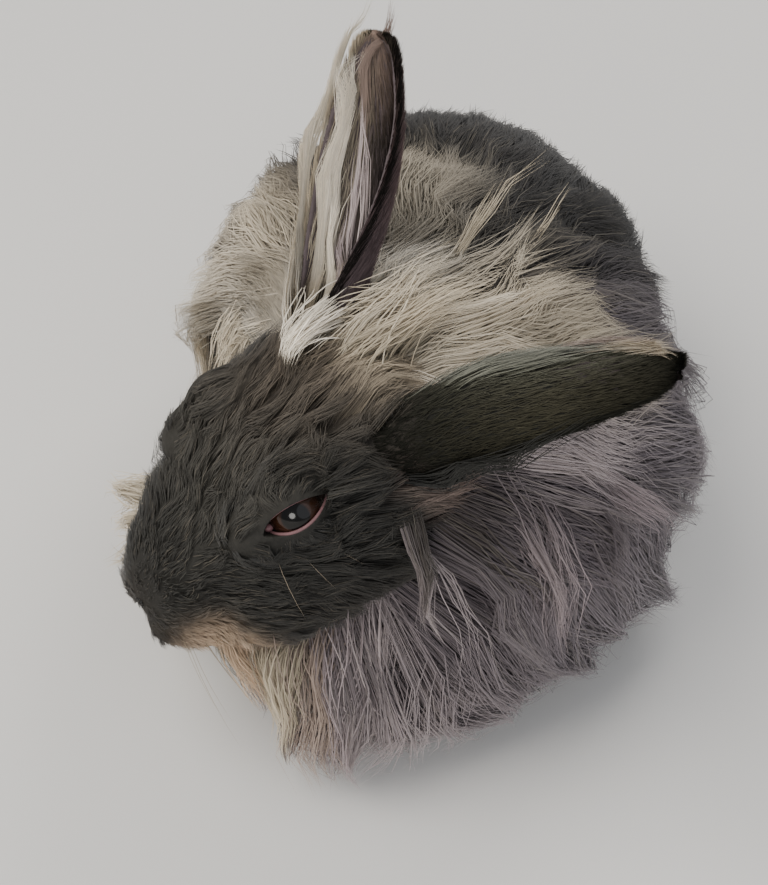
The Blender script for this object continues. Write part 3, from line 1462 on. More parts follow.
def add_group(tree: bpy.types.NodeTree, group: bpy.types.NodeTree,
              values: Optional[dict] = None) -> bpy.types.Node:
    """A new node that holds a shared group, with its own values."""
    made = tree.nodes.new("ShaderNodeGroup")
    made.node_tree = group
    set_inputs(made, values or {})
    return made


def wire(tree: bpy.types.NodeTree, *links: tuple) -> None:
    """Links sockets: each row names a node, its output, another node and its input."""
    for start, output, end, entry in links:
        tree.links.new(start.outputs[output], end.inputs[entry])


def coat_tone_group() -> bpy.types.NodeTree:
    """The group that turns a strand's tint into its colour and roughness, from root to tip."""
    found = bpy.data.node_groups.get("coat_tone")
    if found:
        return found
    made, given, out = shader_group(
        "coat_tone",
        [("Tint", "NodeSocketColor", (0.5, 0.5, 0.5, 1)), ("Along", "NodeSocketFloat", 0.5),
         ("Chance", "NodeSocketFloat", 0.5), ("Root", "NodeSocketFloat", 0.6),
         ("Tip", "NodeSocketFloat", 1.2), ("Variety", "NodeSocketFloat", 0.2)],
        [("Colour", "NodeSocketColor"), ("Roughness", "NodeSocketFloat")])
    shade = add(made, "ShaderNodeMapRange")
    centred = add(made, "ShaderNodeMath", {1: 0.5}, "SUBTRACT")
    spread = add(made, "ShaderNodeMath", {2: 1.0}, "MULTIPLY_ADD")
    strength = add(made, "ShaderNodeMath", {}, "MULTIPLY")
    scale = add(made, "ShaderNodeVectorMath", {}, "SCALE")
    rough = add(made, "ShaderNodeMapRange", {"To Min": 0.85, "To Max": 0.6})
    wire(made, (given, "Along", shade, "Value"), (given, "Root", shade, "To Min"),
         (given, "Tip", shade, "To Max"), (given, "Chance", centred, 0), (centred, 0, spread, 0),
         (given, "Variety", spread, 1),
         (shade, "Result", strength, 0), (spread, 0, strength, 1), (given, "Tint", scale, 0),
         (strength, 0, scale, "Scale"), (scale, 0, out, "Colour"), (given, "Along", rough, "Value"),
         (rough, "Result", out, "Roughness"))
    return made


def grain_group() -> bpy.types.NodeTree:
    """The group for short flat fur and pores: a height and a mask from noise on the form."""
    found = bpy.data.node_groups.get("grain")
    if found:
        return found
    made, given, out = shader_group(
        "grain", [("Scale", "NodeSocketFloat", 900.0), ("Stretch", "NodeSocketFloat", 0.35)],
        [("Height", "NodeSocketFloat"), ("Mask", "NodeSocketFloat")])
    place = add(made, "ShaderNodeTexCoord")
    squash = add(made, "ShaderNodeCombineXYZ", {"X": 1.0, "Z": 1.0})
    local = add(made, "ShaderNodeVectorMath", {}, "MULTIPLY")
    fine = add(made, "ShaderNodeTexNoise", {"Detail": 3.0})
    broad = add(made, "ShaderNodeTexNoise", {"Scale": 90.0})
    wire(made, (given, "Stretch", squash, "Y"), (place, "Object", local, 0), (squash, 0, local, 1),
         (local, 0, fine, "Vector"), (given, "Scale", fine, "Scale"), (fine, "Fac", out, "Height"),
         (place, "Object", broad, "Vector"), (broad, "Fac", out, "Mask"))
    return made


def new_material(name: str) -> tuple:
    """A material with its tree and its Principled shader."""
    made = bpy.data.materials.new(name)
    made.use_nodes = True
    return made, made.node_tree, made.node_tree.nodes["Principled BSDF"]


def attribute(tree: bpy.types.NodeTree, name: str) -> bpy.types.Node:
    """A node that reads a value stored at the mesh's points."""
    node = tree.nodes.new("ShaderNodeAttribute")
    node.attribute_name = name
    return node


def ramp_of(tree: bpy.types.NodeTree, stops: Sequence[tuple]) -> bpy.types.Node:
    """A colour ramp through stops of a place and a linear colour."""
    made = tree.nodes.new("ShaderNodeValToRGB")
    elements = made.color_ramp.elements
    while len(elements) < len(stops):
        elements.new(0.5)
    for element, (place, colour) in zip(elements, stops):
        element.position = place
        element.color = (*colour, 1)
    return made


@dataclass(frozen=True)
class CoatFinish:
    """Fur or wool: how its strands shade from root to tip."""

    name: str
    root: float = 0.62
    tip: float = 1.16
    variety: float = 0.1
    specular: float = 0.25
    sheen: float = 0.15

    def material(self) -> bpy.types.Material:
        """The finish as a material."""
        made, tree, shader = new_material(self.name)
        values = {"Root": self.root, "Tip": self.tip, "Variety": self.variety}
        tone = add_group(tree, coat_tone_group(), values)
        wire(tree, (attribute(tree, "tint"), "Color", tone, "Tint"),
             (attribute(tree, "along"), "Fac", tone, "Along"),
             (attribute(tree, "chance"), "Fac", tone, "Chance"),
             (tone, "Colour", shader, "Base Color"), (tone, "Roughness", shader, "Roughness"))
        set_inputs(shader, {"Specular IOR Level": self.specular, "Sheen Weight": self.sheen})
        return made


@dataclass(frozen=True)
class SkinFinish:
    """Skin under the coat, with short fur as fine relief."""

    name: str = "skin"
    shade: float = 0.62
    lightest: float = 1.5
    relief: float = 0.0003
    specular: float = 0.2

    def material(self) -> bpy.types.Material:
        """The finish as a material."""
        made, tree, shader = new_material(self.name)
        grain = add_group(tree, grain_group())
        tone = add_group(tree, coat_tone_group(), {"Root": self.shade, "Tip": self.shade * self.lightest})
        bump = add(tree, "ShaderNodeBump", {"Distance": self.relief})
        wire(tree, (attribute(tree, "tint"), "Color", tone, "Tint"), (grain, "Height", tone, "Along"),
             (grain, "Mask", tone, "Chance"), (tone, "Colour", shader, "Base Color"),
             (tone, "Roughness", shader, "Roughness"), (grain, "Height", bump, "Height"),
             (bump, "Normal", shader, "Normal"))
        set_inputs(shader, {"Specular IOR Level": self.specular})
        return made


@dataclass(frozen=True)
class MoistFinish:
    """A smooth horny or moist surface with a faint mottle."""

    name: str
    tone: Tone
    roughness: float
    coat: float = 0.0
    coat_roughness: float = 0.12
    grain_scale: float = 700.0
    darkest: float = 0.6
    lightest: float = 1.3

    def material(self) -> bpy.types.Material:
        """The finish as a material."""
        made, tree, shader = new_material(self.name)
        grain = add_group(tree, grain_group(), {"Scale": self.grain_scale})
        colour = self.tone.linear()
        ramp = ramp_of(tree, ((0.0, colour * self.darkest), (1.0, np.minimum(colour * self.lightest, 1))))
        wire(tree, (grain, "Height", ramp, "Fac"), (ramp, "Color", shader, "Base Color"))
        set_inputs(shader, {"Roughness": self.roughness, "Coat Weight": self.coat,
                            "Coat Roughness": self.coat_roughness})
        return made


@dataclass(frozen=True)
class EyeFinish:
    """The wet eye: pupil, brown iris and dark rim by the angle from its gaze."""

    name: str = "eye_wet"
    stops: tuple = (
        (0.0, (0.002, 0.0015, 0.001)),
        (0.36, (0.002, 0.0015, 0.001)),
        (0.42, (0.03, 0.012, 0.006)),
        (0.74, (0.016, 0.007, 0.004)),
        (0.84, (0.006, 0.004, 0.003)),
        (1.0, (0.05, 0.034, 0.03)),
    )

    def material(self) -> bpy.types.Material:
        """The finish as a material."""
        made, tree, shader = new_material(self.name)
        ramp = ramp_of(tree, self.stops)
        wire(tree, (attribute(tree, "gaze"), "Fac", ramp, "Fac"), (ramp, "Color", shader, "Base Color"))
        set_inputs(shader, {"Roughness": 0.15, "Specular IOR Level": 0.1, "Coat Weight": 0.5,
                            "Coat Roughness": 0.05})
        return made


@dataclass
class Skin:
    """One skin over all the flesh, and the surfaces that the coat is combed over."""

    head_voxel: float = 0.0007
    body_voxel: float = 0.0012
    ear_from: float = 0.01
    ear_blend: float = 0.006
    torso: Torso = field(default_factory=Torso)
    mane: Mane = field(default_factory=Mane)
    head: Head = field(default_factory=Head)
    limbs: Limbs = field(default_factory=Limbs)
    ears: dict = field(default_factory=make_ears)

    def __post_init__(self) -> None:
        """Fuses the forms into the two surfaces of the skin."""
        body = [self.torso.flesh(), self.mane.flesh(), self.limbs.tail_flesh()]
        for _, sign in SIDES:
            body += [self.limbs.haunch(sign), *self.limbs.paw(sign), *self.limbs.foot(sign)]
        face = self.head.flesh()
        ears = [self.ears[side].flesh() for side, _ in SIDES]
        self.body_form = skinned(body, self.body_voxel, 6)
        self.head_form = skinned(face + ears, self.head_voxel, 3, self.head.cutters())
        self.whole = joined([self.body_form, self.head_form])
        self.grounds = {"head": Ground(self.head_form), "body": Ground(self.body_form)}

    def build(self) -> bpy.types.Object:
        """The skin as one piece, in the coat's own markings."""
        made = mesh_object("skin", self.whole, SkinFinish().material())
        count = len(self.body_form.points)
        tint = np.ones((len(self.whole.points), 4))
        tint[:count, :3] = marked(self.whole.points[:count], MANE_MARKINGS)
        tint[count:, :3] = self.head_tint(self.whole.points[count:])
        put(made.data, "tint", "FLOAT_COLOR", tint)
        return made

    def head_tint(self, points: Array) -> Array:
        """Colours of the head's skin: the face's markings, and the ears' own tones beyond the skull."""
        local = POSE.back(points)
        tint = marked(local, FACE_MARKINGS)
        for side, _ in SIDES:
            ear = self.ears[side]
            out = (points - POSE.out(ear.root)) @ ear.axes()[0]
            weight = np.clip((out - self.ear_from) / self.ear_blend, 0, 1)[:, None]
            tone = (Tone.EAR_DARK if side == "left" else Tone.MAUVE_DARK).linear()
            tint = tint * (1 - weight) + tone * weight
        return tint


@dataclass
class Eyes:
    """Eyeballs with their lid margins and inner corners."""

    head: Head
    rim: float = 0.00036
    bulge: float = 0.0004

    def build(self) -> list[tuple[bpy.types.Object, Sequence[str], str]]:
        """Each piece with the nodes it replaces and its slot."""
        wet, moist = EyeFinish().material(), MoistFinish("lid_margin", Tone.ROSE, 0.6).material()
        made = []
        for side, sign in SIDES:
            ball = self.ball(sign)
            thing = mesh_object("eyeball_" + side, ball, wet)
            look = POSE.way_out(unit(sided(self.head.look, sign)))
            centre = eye_centre(sign)
            angle = np.degrees(np.arccos(np.clip(unit(ball.points - centre) @ look, -1, 1)))
            put(thing.data, "gaze", "FLOAT", np.clip(angle / 60, 0, 1))
            made.append((thing, ("eye_" + side,), "eye"))
            made.append((mesh_object("lid_margin_" + side, self.margin(sign), moist), (), "face_fur"))
        return made

    def ball(self, sign: float) -> Shape:
        """An eyeball with a slightly domed cornea."""
        shape = ellipsoid((0, 0, 0), [self.head.eye_radius - EYE_PLAY] * 3, None, 64)
        look = unit(sided(self.head.look, sign))
        close = np.clip((unit(shape.points) @ look - 0.8) / 0.2, 0, 1)
        points = shape.points + unit(shape.points) * (self.bulge * close ** 0.7)[:, None]
        return Shape(POSE.out(points + sided(EYE_SPOT, sign)), shape.triangles)

    def margin(self, sign: float) -> Shape:
        """The moist rim of both lids, with the corner towards the nose."""
        head = self.head
        angle = np.linspace(0, 2 * math.pi, 61)[:-1]
        along = np.cos(angle) * (head.slit_length / 2 - EYE_PLAY)
        across = np.sin(angle) * np.abs(np.sin(angle)) ** 0.5 * (head.slit_height / 2 - EYE_PLAY)
        radius = head.eye_radius + 0.0006
        out = np.sqrt(radius ** 2 - np.minimum(along ** 2 + across ** 2, radius ** 2 * 0.9))
        path = np.stack([along, across, out], 1)
        along_way = unit(np.roll(path, -1, 0) - np.roll(path, 1, 0))
        normal = unit(path)
        sidewise = np.cross(along_way, normal)
        lower = np.clip(0.25 - np.sin(angle) * sign, 0, 1) + 0.6 * np.clip(-np.cos(angle) - 0.7, 0, 1)
        thick = self.rim * (0.35 + lower)
        turn = np.linspace(0, 2 * math.pi, 10, endpoint=False)
        ring = (path[:, None] + (sidewise[:, None] * np.cos(turn)[None, :, None]
                                 + normal[:, None] * np.sin(turn)[None, :, None]) * thick[:, None, None])
        count = len(path)
        index = np.arange(count * 10).reshape(count, 10)
        a, b = index, np.roll(index, -1, 1)
        c, d = np.roll(b, -1, 0), np.roll(a, -1, 0)
        axes = head.eye_axes(sign)
        place = sided(EYE_SPOT, sign)
        torus = Shape(POSE.out(ring.reshape(-1, 3) @ axes.T + place), quads(a, b, c, d)).turned_out()
        corner = np.array((-1.0, 0.0, 0.0)) * (head.slit_length / 2 - 0.0012) + (0, 0, 0.0049)
        lump = ellipsoid(POSE.out(corner @ axes.T + place), (0.0013, 0.001, 0.001), POSE.axes() @ axes, 14)
        return joined([torus, lump])


@dataclass
class Details:
    """Whiskers and claws."""

    head: Head
    limbs: Limbs
    pad_length: tuple = (0.022, 0.034)
    brow_length: tuple = (0.014, 0.02)
    whisker_width: float = 0.00012
    claw_radius: float = 0.0009
    claw_ahead: float = 0.005
    claw_height: float = 0.0036

    def whiskers(self, draw: np.random.Generator) -> Strands:
        """Long fine whiskers of the pads and brows."""
        rows = []
        for i in range(9):
            row, column = i // 3, i % 3
            root = (0.0095 + 0.0012 * column, -0.044 + 0.0028 * row, -0.0095 - 0.0025 * column)
            rows.append((root, (0.85, -0.3 + 0.22 * row, -0.32 - 0.12 * column), self.pad_length))
        for i in range(3):
            root = (0.0215 + 0.0008 * i, -0.015 + 0.004 * i, 0.01)
            rows.append((root, (0.8, -0.3 + 0.3 * i, -0.25), self.brow_length))
        t = np.linspace(0, 1, 6)[:, None]
        paths = []
        for _, sign in SIDES:
            for root, way, lengths in rows:
                length = draw.uniform(*lengths)
                line = sided(root, sign) + unit(sided(way, sign)) * length * t
                paths.append(POSE.out(line + np.array((0, 0.15, -0.22)) * length * t ** 2))
        paths = np.array(paths)
        outs = np.broadcast_to(UP, paths.shape).copy()
        count = len(paths)
        tint = np.repeat(Tone.SAND.linear()[None], count, 0)
        return Strands(paths, outs, np.full(count, self.whisker_width), tint, draw.random(count))

    def claws(self) -> Shape:
        """Small bent claws at the ends of all toes."""
        made = []
        limbs = self.limbs
        rows = ((limbs.paw_toe, limbs.paw_toes_back), (limbs.foot_toe, limbs.foot_toes_back))
        for _, sign in SIDES:
            for toe, back in rows:
                for place in limbs.toe_places:
                    behind = back + limbs.toe_arc * place * place - self.claw_ahead
                    base = sided(toe, sign) + np.array((place, behind, self.claw_height))
                    t = np.linspace(0, 1, 8)[:, None]
                    path = base + np.array((0, -0.0052, 0)) * t + np.array((0, 0, -0.0026)) * t ** 2
                    made.append(tube(path, self.claw_radius * (1 - t[:, 0] * 0.85), 8))
        return joined(made)


# The locks placed by hand, as rows of Wisp: crown, brow and chin, back, right ruff, bib, left ear.
WISPS = (
    ((-10, -39, 106), (-12, -53, 115), (-16.5, -60, 107), 330, 2.8, Tone.PALE),
    ((-4, -46, 104), (0, -42, 116), (16.5, -20, 114), 180, 4.5, Tone.CREAM),
    ((-2, -48, 102), (4, -48, 114), (24, -28, 112), 180, 5, Tone.BEIGE),
    ((-23.4, -94.4, 53), (-22, -105, 45), (-13, -108, 32), 120, 2.2, Tone.TAN),
    ((9.3, -20.2, 108), (23, -12, 122), (32.4, 3.3, 130), 30, 0.9, Tone.BEIGE, 0.24, 0.97, 0.05),
    ((30.9, -9.7, 102), (37, -7.5, 118), (39.9, -1.5, 124), 16, 0.8, Tone.BEIGE, 0.24, 0.97, 0.05),
    ((-50, -56, 42), (-70, -56, 48), (-76.8, -50.1, 36), 240, 4, Tone.CREAM),
    ((-48, -60, 38), (-66, -62, 42), (-72, -57.2, 29), 200, 4, Tone.CREAM),
    ((-46, -64, 32), (-62, -68, 36), (-69.2, -65.2, 20), 160, 3.5, Tone.BEIGE),
    ((-36, -16, 80), (-47, -14, 84), (-50, -19, 58), 160, 3.5, Tone.CREAM),
    ((-36, -20, 74), (-45, -19, 76), (-47.5, -24, 56), 140, 3.5, Tone.CREAM),
    ((-10, -88, 46), (-11.6, -107.7, 42), (-4.9, -108.8, 18), 300, 4.5, Tone.BEIGE),
    ((-2.8, -84, 46), (-1.4, -107.3, 36), (4.1, -111.3, 8), 300, 5, Tone.BUFF),
    ((4, -84, 46), (5, -105.3, 34), (8.1, -109.3, 10), 200, 5, Tone.MAUVE_PALE),
    ((10, -80, 46), (13.6, -100.6, 36), (17.1, -99.6, 14), 220, 5.5, Tone.LILAC),
    ((36, -58, 82), (52, -80, 80), (57.3, -82, 48), 170, 2, Tone.MAUVE_PALE),
    ((40, -54, 80), (56, -72, 88), (63, -77, 48), 150, 1.8, Tone.MAUVE_PALE),
    ((48, -50, 78), (64, -56, 90), (80, -50, 56), 150, 2.4, Tone.MAUVE_PALE),
)

# The tones of EarCoat: the ear's back and inside from root to tip, its two rims, and its patch.
EAR_TONES = {
    "left": ((Tone.EAR_DARK, Tone.EAR_MID, Tone.EAR_TIP), (Tone.EAR_DARK, Tone.EAR_INNER, Tone.EAR_TIP),
             (Tone.EAR_DARK, Tone.SOOT), (Tone.EAR_LIGHT, (0.2, 0.44), (0.36, 0.2))),
    "right": ((Tone.MAUVE_DARK, Tone.EAR_INNER, Tone.EAR_MID),
              (Tone.MAUVE_DARK, Tone.DARK_BACK, Tone.EAR_BROWN),
              (Tone.BEIGE, Tone.DARK_BACK), (Tone.CREAM, (-0.9, 0.34), (0.5, 0.34))),
}

# The ears' long locks, as the rows that EarCoat.locks takes.
EAR_LOCKS = {
    "left": (
        (False, 0.34, 0.36, 0.44, 0.82, 0.0034, 130, 0.022, Tone.BUFF),
        (False, 0.36, 0.26, 0.56, 0.88, 0.0032, 170, 0.016, Tone.BEIGE),
        (False, 0.3, 0.16, 0.68, 0.9, 0.0022, 40, 0.012, Tone.BEIGE),
        (False, 0.26, 0.22, 0.28, 0.5, 0.0026, 80, 0.03, Tone.EAR_LIGHT),
        (False, 0.26, 0.2, 0.3, 0.62, 0.0026, 90, 0.05, Tone.EAR_LIGHT),
        (False, 0.02, 0.06, 0.34, 0.56, 0.0022, 60, 0.03, Tone.EAR_LIGHT),
        (False, -0.97, -0.97, 0.08, 0.6, 0.0032, 110, 0.04, Tone.EAR_DARK),
    ),
    "right": (
        (False, -0.98, -1.0, 0.0, 0.5, 0.003, 190, 0.016, Tone.PALE),
        (False, -1.0, -0.98, 0.24, 0.8, 0.0056, 150, 0.011, Tone.PALE),
        (False, -1.0, -0.98, 0.55, 1.13, 0.009, 30, 0.004, Tone.PALE),
        (True, -0.8, -0.96, 0.04, 0.56, 0.003, 310, 0.018, Tone.PALE),
        (True, -0.76, -1.0, 0.14, 0.76, 0.0046, 330, 0.014, Tone.PALE),
        (True, -0.5, -0.6, 0.02, 0.42, 0.004, 180, 0.018, Tone.PALE),
        (True, -0.42, -0.95, 0.2, 0.66, 0.0042, 120, 0.012, Tone.PALE),
        (True, -0.05, -0.45, 0.24, 0.62, 0.004, 40, 0.006, Tone.LILAC),
        (True, -0.1, -0.2, 0.04, 0.36, 0.004, 110, 0.012, Tone.MAUVE_PALE),
        (True, 0.22, 0.0, 0.26, 0.6, 0.004, 22, 0.006, Tone.LILAC),
        (True, -0.3, -0.85, 0.56, 1.08, 0.0024, 150, 0.012, Tone.EAR_BROWN),
    ),
}


@dataclass
class Coat:
    """The whole coat, region by region."""

    skin: Skin
    draw: np.random.Generator
    face_strands: int = 68000
    lid_strands: int = 9500
    back_strands: int = 74000
    feet_strands: int = 9000
    tail_strands: int = 2600
    face_end: float = 0.037
    lid_bare: float = 0.0003
    nostril_bare: tuple = (0.0026, 0.004, 0.0016)
    face_lengths: tuple = ((-0.05, -0.04, -0.02, 0.005, 0.03), (0.0022, 0.0038, 0.0068, 0.0105, 0.013))

    def face_flow(self, points: Array, normals: Array) -> Array:
        """The lie of the face's fur: back from the nose, down the cheeks and away from the lids."""
        local = POSE.back(points)
        x, y, z = local.T
        low = np.clip((0.012 - z) / 0.02, 0, 1)
        wide = np.abs(x)
        rise = 0.1 - 0.55 * low * wide / HEAD_HALF
        way = np.stack([0.25 * np.sign(x) * wide / HEAD_HALF, 1 + 0 * x, rise], 1)
        front = np.clip((-0.036 - y) / 0.012, 0, 1)[:, None]
        radial = unit(np.stack([x, 0.004 + 0 * x, z + 0.008], 1))
        way = unit(way) + radial * front * 1.4
        for _, sign in SIDES:
            axes = self.skin.head.eye_axes(sign)
            off = (local - sided(EYE_SPOT, sign)) @ axes
            spread = np.hypot(off[:, 0], off[:, 1] * 1.8)
            weight = (np.exp(-((spread - 0.008) / 0.006) ** 2) * (off[:, 2] > 0))[:, None]
            away = off[:, :1] * axes[:, 0] + off[:, 1:2] * axes[:, 1]
            way = way * (1 - 0.7 * weight) + unit(away) * weight
        return POSE.way_out(way)

    def face_keep(self, points: Array, normals: Array) -> Array:
        """Leaves the eyes' openings, the nostrils and the skull's hidden back bare."""
        local = POSE.back(points)
        head = self.skin.head
        keep = local[:, 1] < self.face_end
        for _, sign in SIDES:
            off = (local - sided(EYE_SPOT, sign)) @ head.eye_axes(sign)
            along = off[:, 0] / (head.slit_length / 2 + self.lid_bare)
            across = off[:, 1] / (head.slit_height / 2 + self.lid_bare)
            keep &= (np.hypot(along, across) > 1) | (off[:, 2] < 0)
            nostril = (local - sided(head.nostril[0], sign)) / self.nostril_bare
            keep &= np.linalg.norm(nostril, axis=1) > 1
        return keep

    def face_length(self, points: Array) -> Array:
        """Fur lengths of the head: shortest on the nose, longest at the cheeks and poll."""
        local = POSE.back(points)
        base = np.interp(local[:, 1], *self.face_lengths)
        side = np.clip(np.abs(local[:, 0]) / HEAD_HALF, 0, 1) * np.clip((local[:, 1] + 0.02) / 0.03, 0, 1)
        return base * (1.1 + 0.2 * side * (local[:, 2] < 0.008))

    def body_tint(self, points: Array) -> Array:
        """The body's colour at points."""
        return marked(points, MANE_MARKINGS)

    def face_tint(self, points: Array) -> Array:
        """The head's colour at points."""
        return marked(POSE.back(points), FACE_MARKINGS)

    def foot_tint(self, points: Array) -> Array:
        """The feet's colour."""
        return np.tile(Tone.FOOT.linear(), (len(points), 1))

    def combs(self) -> list[Comb]:
        """The regions that are combed over the skin."""
        skin, limbs = self.skin, self.skin.limbs
        trunk = [skin.torso.flesh()] + [limbs.haunch(sign) for _, sign in SIDES]
        feet = joined([shape for _, sign in SIDES for shape in (limbs.paw(sign)[0], limbs.foot(sign)[0])])
        lids = [ellipsoid(eye_centre(sign), [skin.head.eye_radius + skin.head.lid] * 3) for _, sign in SIDES]
        coarse = Clumps(0.34, 0.0006, 0.07, 0.1, 0.05, Tone.SAND, 0.1)
        short = Clumps(0.32, 0.0004, 0.14, 0.16, 0.1, Tone.SAND, 0.12)
        face = (self.face_flow, self.face_tint, self.face_keep, 3, 0.0003, 0.7, short, (0.2, 0.1))
        return [
            Comb("face", joined(skin.head.flesh()), 2600, self.face_strands, self.face_length,
                 0.3, 0.00025, *face),
            Comb("face_lids", joined(lids), 700, self.lid_strands, even(0.0044), 0.26, 0.00022, *face),
            Comb("body", joined(trunk), 3200, self.back_strands, even(0.015), 0.15, 0.00031,
                 steady((0.0, 0.9, -0.3), 3), self.body_tint, None, 3, 0.0006, 0.75, coarse, (0.07, 0.03)),
            Comb("under", skin.mane.flesh(), 900, 12500, even(0.018), 0.35, 0.00034,
                 steady((0.0, 0.25, -0.9), 12), self.body_tint, None, 3, 0.0006, 0.75, coarse, (0.1, 0.04)),
            Comb("tail", limbs.tail_flesh(), 90, self.tail_strands, even(0.012), 0.38, 0.0003,
                 steady((0.0, 0.35, 1.0)), self.body_tint, None, 4, 0.0006, 0.75, coarse),
            Comb("feet", feet, 700, self.feet_strands, even(0.0075), 0.4, 0.00026,
                 steady((0.0, -1.0, -0.15)), self.foot_tint, None, 3, 0.0004, 0.8, short),
        ]

    def grow(self) -> dict[str, Strands]:
        """All strands, as pieces with fewer triangles than a piece may have."""
        grounds = self.skin.grounds
        made: dict[str, Strands] = {}
        for comb in self.combs():
            on_head = comb.name.startswith("face")
            ground = grounds["head" if on_head else "body"]
            other = [grounds["body" if on_head else "head"]]
            made[comb.name] = comb.grow(ground, other, self.draw)
            LOG.info("%s: %d strands", comb.name, len(made[comb.name].width))
        made["mane"] = ManeCoat(self.skin.mane).grow(grounds, self.draw)
        LOG.info("mane: %d strands", len(made["mane"].width))
        ears = [EarCoat(self.skin.ears[side], *EAR_TONES[side]) for side, _ in SIDES]
        for coat in ears:
            made["ear_" + coat.ear.side] = coat.grow(self.draw)
        locks = [Wisp(*row).grow(grounds, self.draw) for row in WISPS]
        for coat in reversed(ears):
            locks.append(coat.locks(self.draw, EAR_LOCKS[coat.ear.side]))
        made["locks"] = together(locks)
        return made

    def pieces(self) -> dict[str, Strands]:
        """The strands split where a piece would grow too large."""
        made = {}
        for name, strands in self.grow().items():
            parts = strands.triangles() // (MOST_TRIANGLES - 20_000) + 1
            if parts == 1:
                made["coat_" + name] = strands
                continue
            turn = np.arctan2(strands.paths[:, 0, 1] + 0.02, strands.paths[:, 0, 0])
            bounds = np.quantile(turn, np.linspace(0, 1, parts + 1))
            which = np.clip(np.searchsorted(bounds, turn, side="right") - 1, 0, parts - 1)
            for part in range(parts):
                made[f"coat_{name}_{part + 1}"] = strands.kept(which == part)
        return made


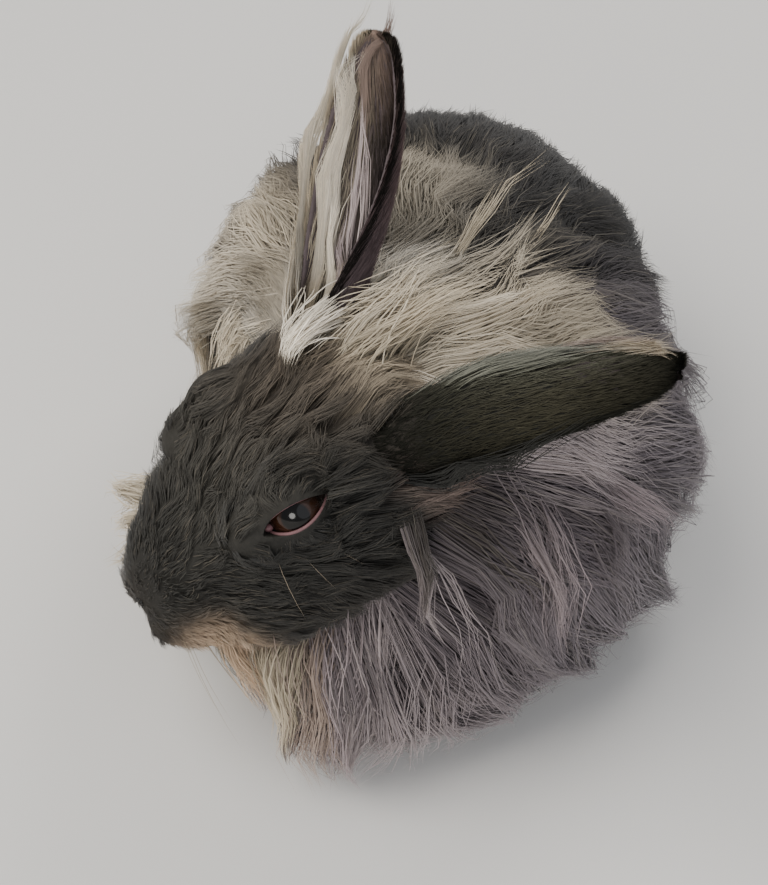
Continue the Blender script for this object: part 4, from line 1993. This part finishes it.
@dataclass
class Studio:
    """A plain pale floor, soft light and the camera."""

    azimuth: float = 13.5
    elevation: float = 46.0
    distance: float = 0.447
    focal_pixels: float = 1680.0
    frame_height: int = 885
    target: tuple = (0.002, -0.037, 0.06)
    sensor: float = 36.0
    floor_half: float = 4.0

    def ways(self) -> tuple[Array, Array, Array]:
        """The camera's right, up and back."""
        a, e = math.radians(self.azimuth), math.radians(self.elevation)
        back = np.array((math.sin(a) * math.cos(e), -math.cos(a) * math.cos(e), math.sin(e)))
        right = np.array((math.cos(a), math.sin(a), 0.0))
        return right, np.cross(back, right), back

    def camera(self) -> None:
        """Sets the camera at the photograph's angle."""
        lens = bpy.data.cameras.new("camera")
        made = linked("camera", lens)
        _, _, back = self.ways()
        made.location = Vector(np.array(self.target) + SHIFT + back * self.distance)
        made.rotation_mode = "QUATERNION"
        made.rotation_quaternion = Vector(-back).to_track_quat("-Z", "Y")
        lens.sensor_width = self.sensor
        lens.lens = self.focal_pixels / self.frame_height * lens.sensor_width
        lens.clip_start = 0.01
        bpy.context.scene.camera = made

    def light(self, name: str, place: tuple, size: float, power_watts: float, colour: tuple) -> None:
        """An area light that looks at the animal."""
        lamp = bpy.data.lights.new(name, "AREA")
        lamp.shape = "DISK"
        lamp.size = size
        lamp.energy = power_watts
        lamp.color = colour
        made = linked(name, lamp)
        made.location = place
        made.rotation_mode = "QUATERNION"
        made.rotation_quaternion = (Vector((0, 0, 0.05)) - Vector(place)).to_track_quat("-Z", "Y")

    def build(self) -> None:
        """Floor, lights, surroundings and camera."""
        half = self.floor_half
        corners = np.array([(-half, -half, 0), (half, -half, 0), (half, half, 0), (-half, half, 0)], float)
        material, tree, shader = new_material("floor")
        noise = add(tree, "ShaderNodeTexNoise", {"Scale": 6.0})
        ramp = ramp_of(tree, ((0.0, (0.66, 0.65, 0.63)), (1.0, (0.72, 0.71, 0.69))))
        wire(tree, (noise, "Fac", ramp, "Fac"), (ramp, "Color", shader, "Base Color"))
        set_inputs(shader, {"Roughness": 0.8})
        mesh_object("floor", Shape(corners - SHIFT, np.array([(0, 1, 2), (0, 2, 3)])), material)
        world = bpy.data.worlds.new("studio")
        world.use_nodes = True
        set_inputs(world.node_tree.nodes["Background"], {"Color": (0.82, 0.86, 0.92, 1), "Strength": 0.45})
        bpy.context.scene.world = world
        self.light("key", (-0.55, -0.25, 0.95), 1.0, 13.0, (1.0, 0.95, 0.88))
        self.light("fill", (0.8, -0.7, 0.6), 1.2, 2.6, (0.9, 0.93, 1.0))
        self.light("front", (0.045, -1.0, 0.35), 0.35, 3.0, (1.0, 0.97, 0.93))
        self.light("rear", (0.25, 0.9, 0.7), 0.6, 6.0, (1.0, 0.97, 0.94))
        self.camera()


# A part of a coat piece's name, and the slot it then belongs in.
SLOTS = (("face", "face_fur"), ("ear", "ear_fur"), ("feet", "foot_fur"), ("mane", "mane_wool"),
         ("locks", "mane_wool"))


def place_piece(thing: bpy.types.Object, nodes: Sequence[str] = ()) -> None:
    """Sets a piece on its body and in the place of the nodes it replaces."""
    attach(thing, "root")
    if nodes:
        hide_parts(*nodes)


def coat_slot(name: str) -> str:
    """The material slot of a piece of coat."""
    return next((slot for part, slot in SLOTS if part in name), "back_fur")


def main() -> None:
    """Builds the rabbit piece by piece and reports each."""
    logging.basicConfig(level=logging.INFO, format="%(message)s", stream=sys.stdout)
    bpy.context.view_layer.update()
    draw = np.random.default_rng(SEED)
    Studio().build()
    skin = Skin()
    paired = [part + side for side, _ in SIDES for part in ("ear_", "foreleg_", "hindfoot_", "thigh_")]
    place_piece(skin.build(), ("head", "neck", "torso", "tail", *paired))
    LOG.info("skin: %d triangles", len(skin.whole.triangles))
    for thing, nodes, slot in Eyes(skin.head).build():
        place_piece(thing, nodes)
        LOG.info("%s built", thing.name)
    unwrap = SkinMap(skin.whole)
    LOG.info("unwrap ready")
    short = CoatFinish("short_fur", 0.6, 1.4).material()
    wool = CoatFinish("wool").material()
    down = CoatFinish("ear_down", 0.6, 1.3, 0.1, 0.06, 0.0).material()
    total = 0
    for name, strands in Coat(skin, draw).pieces().items():
        finish = {"ear_fur": down, "face_fur": short, "foot_fur": short}.get(coat_slot(name), wool)
        place_piece(strand_object(name, strands, unwrap, finish))
        total += strands.triangles()
        LOG.info("%s: %d triangles", name, strands.triangles())
    details = Details(skin.head, skin.limbs)
    whisker = CoatFinish("whisker", 0.9, 1.0, 0.1).material()
    horn = MoistFinish("horn", Tone.HORN, 0.35).material()
    place_piece(strand_object("whiskers", details.whiskers(draw), unwrap, whisker))
    place_piece(mesh_object("claws", details.claws(), horn))
    LOG.info("coat: %d triangles", total)
    bpy.context.view_layer.update()


if __name__ == "__main__":
    main()
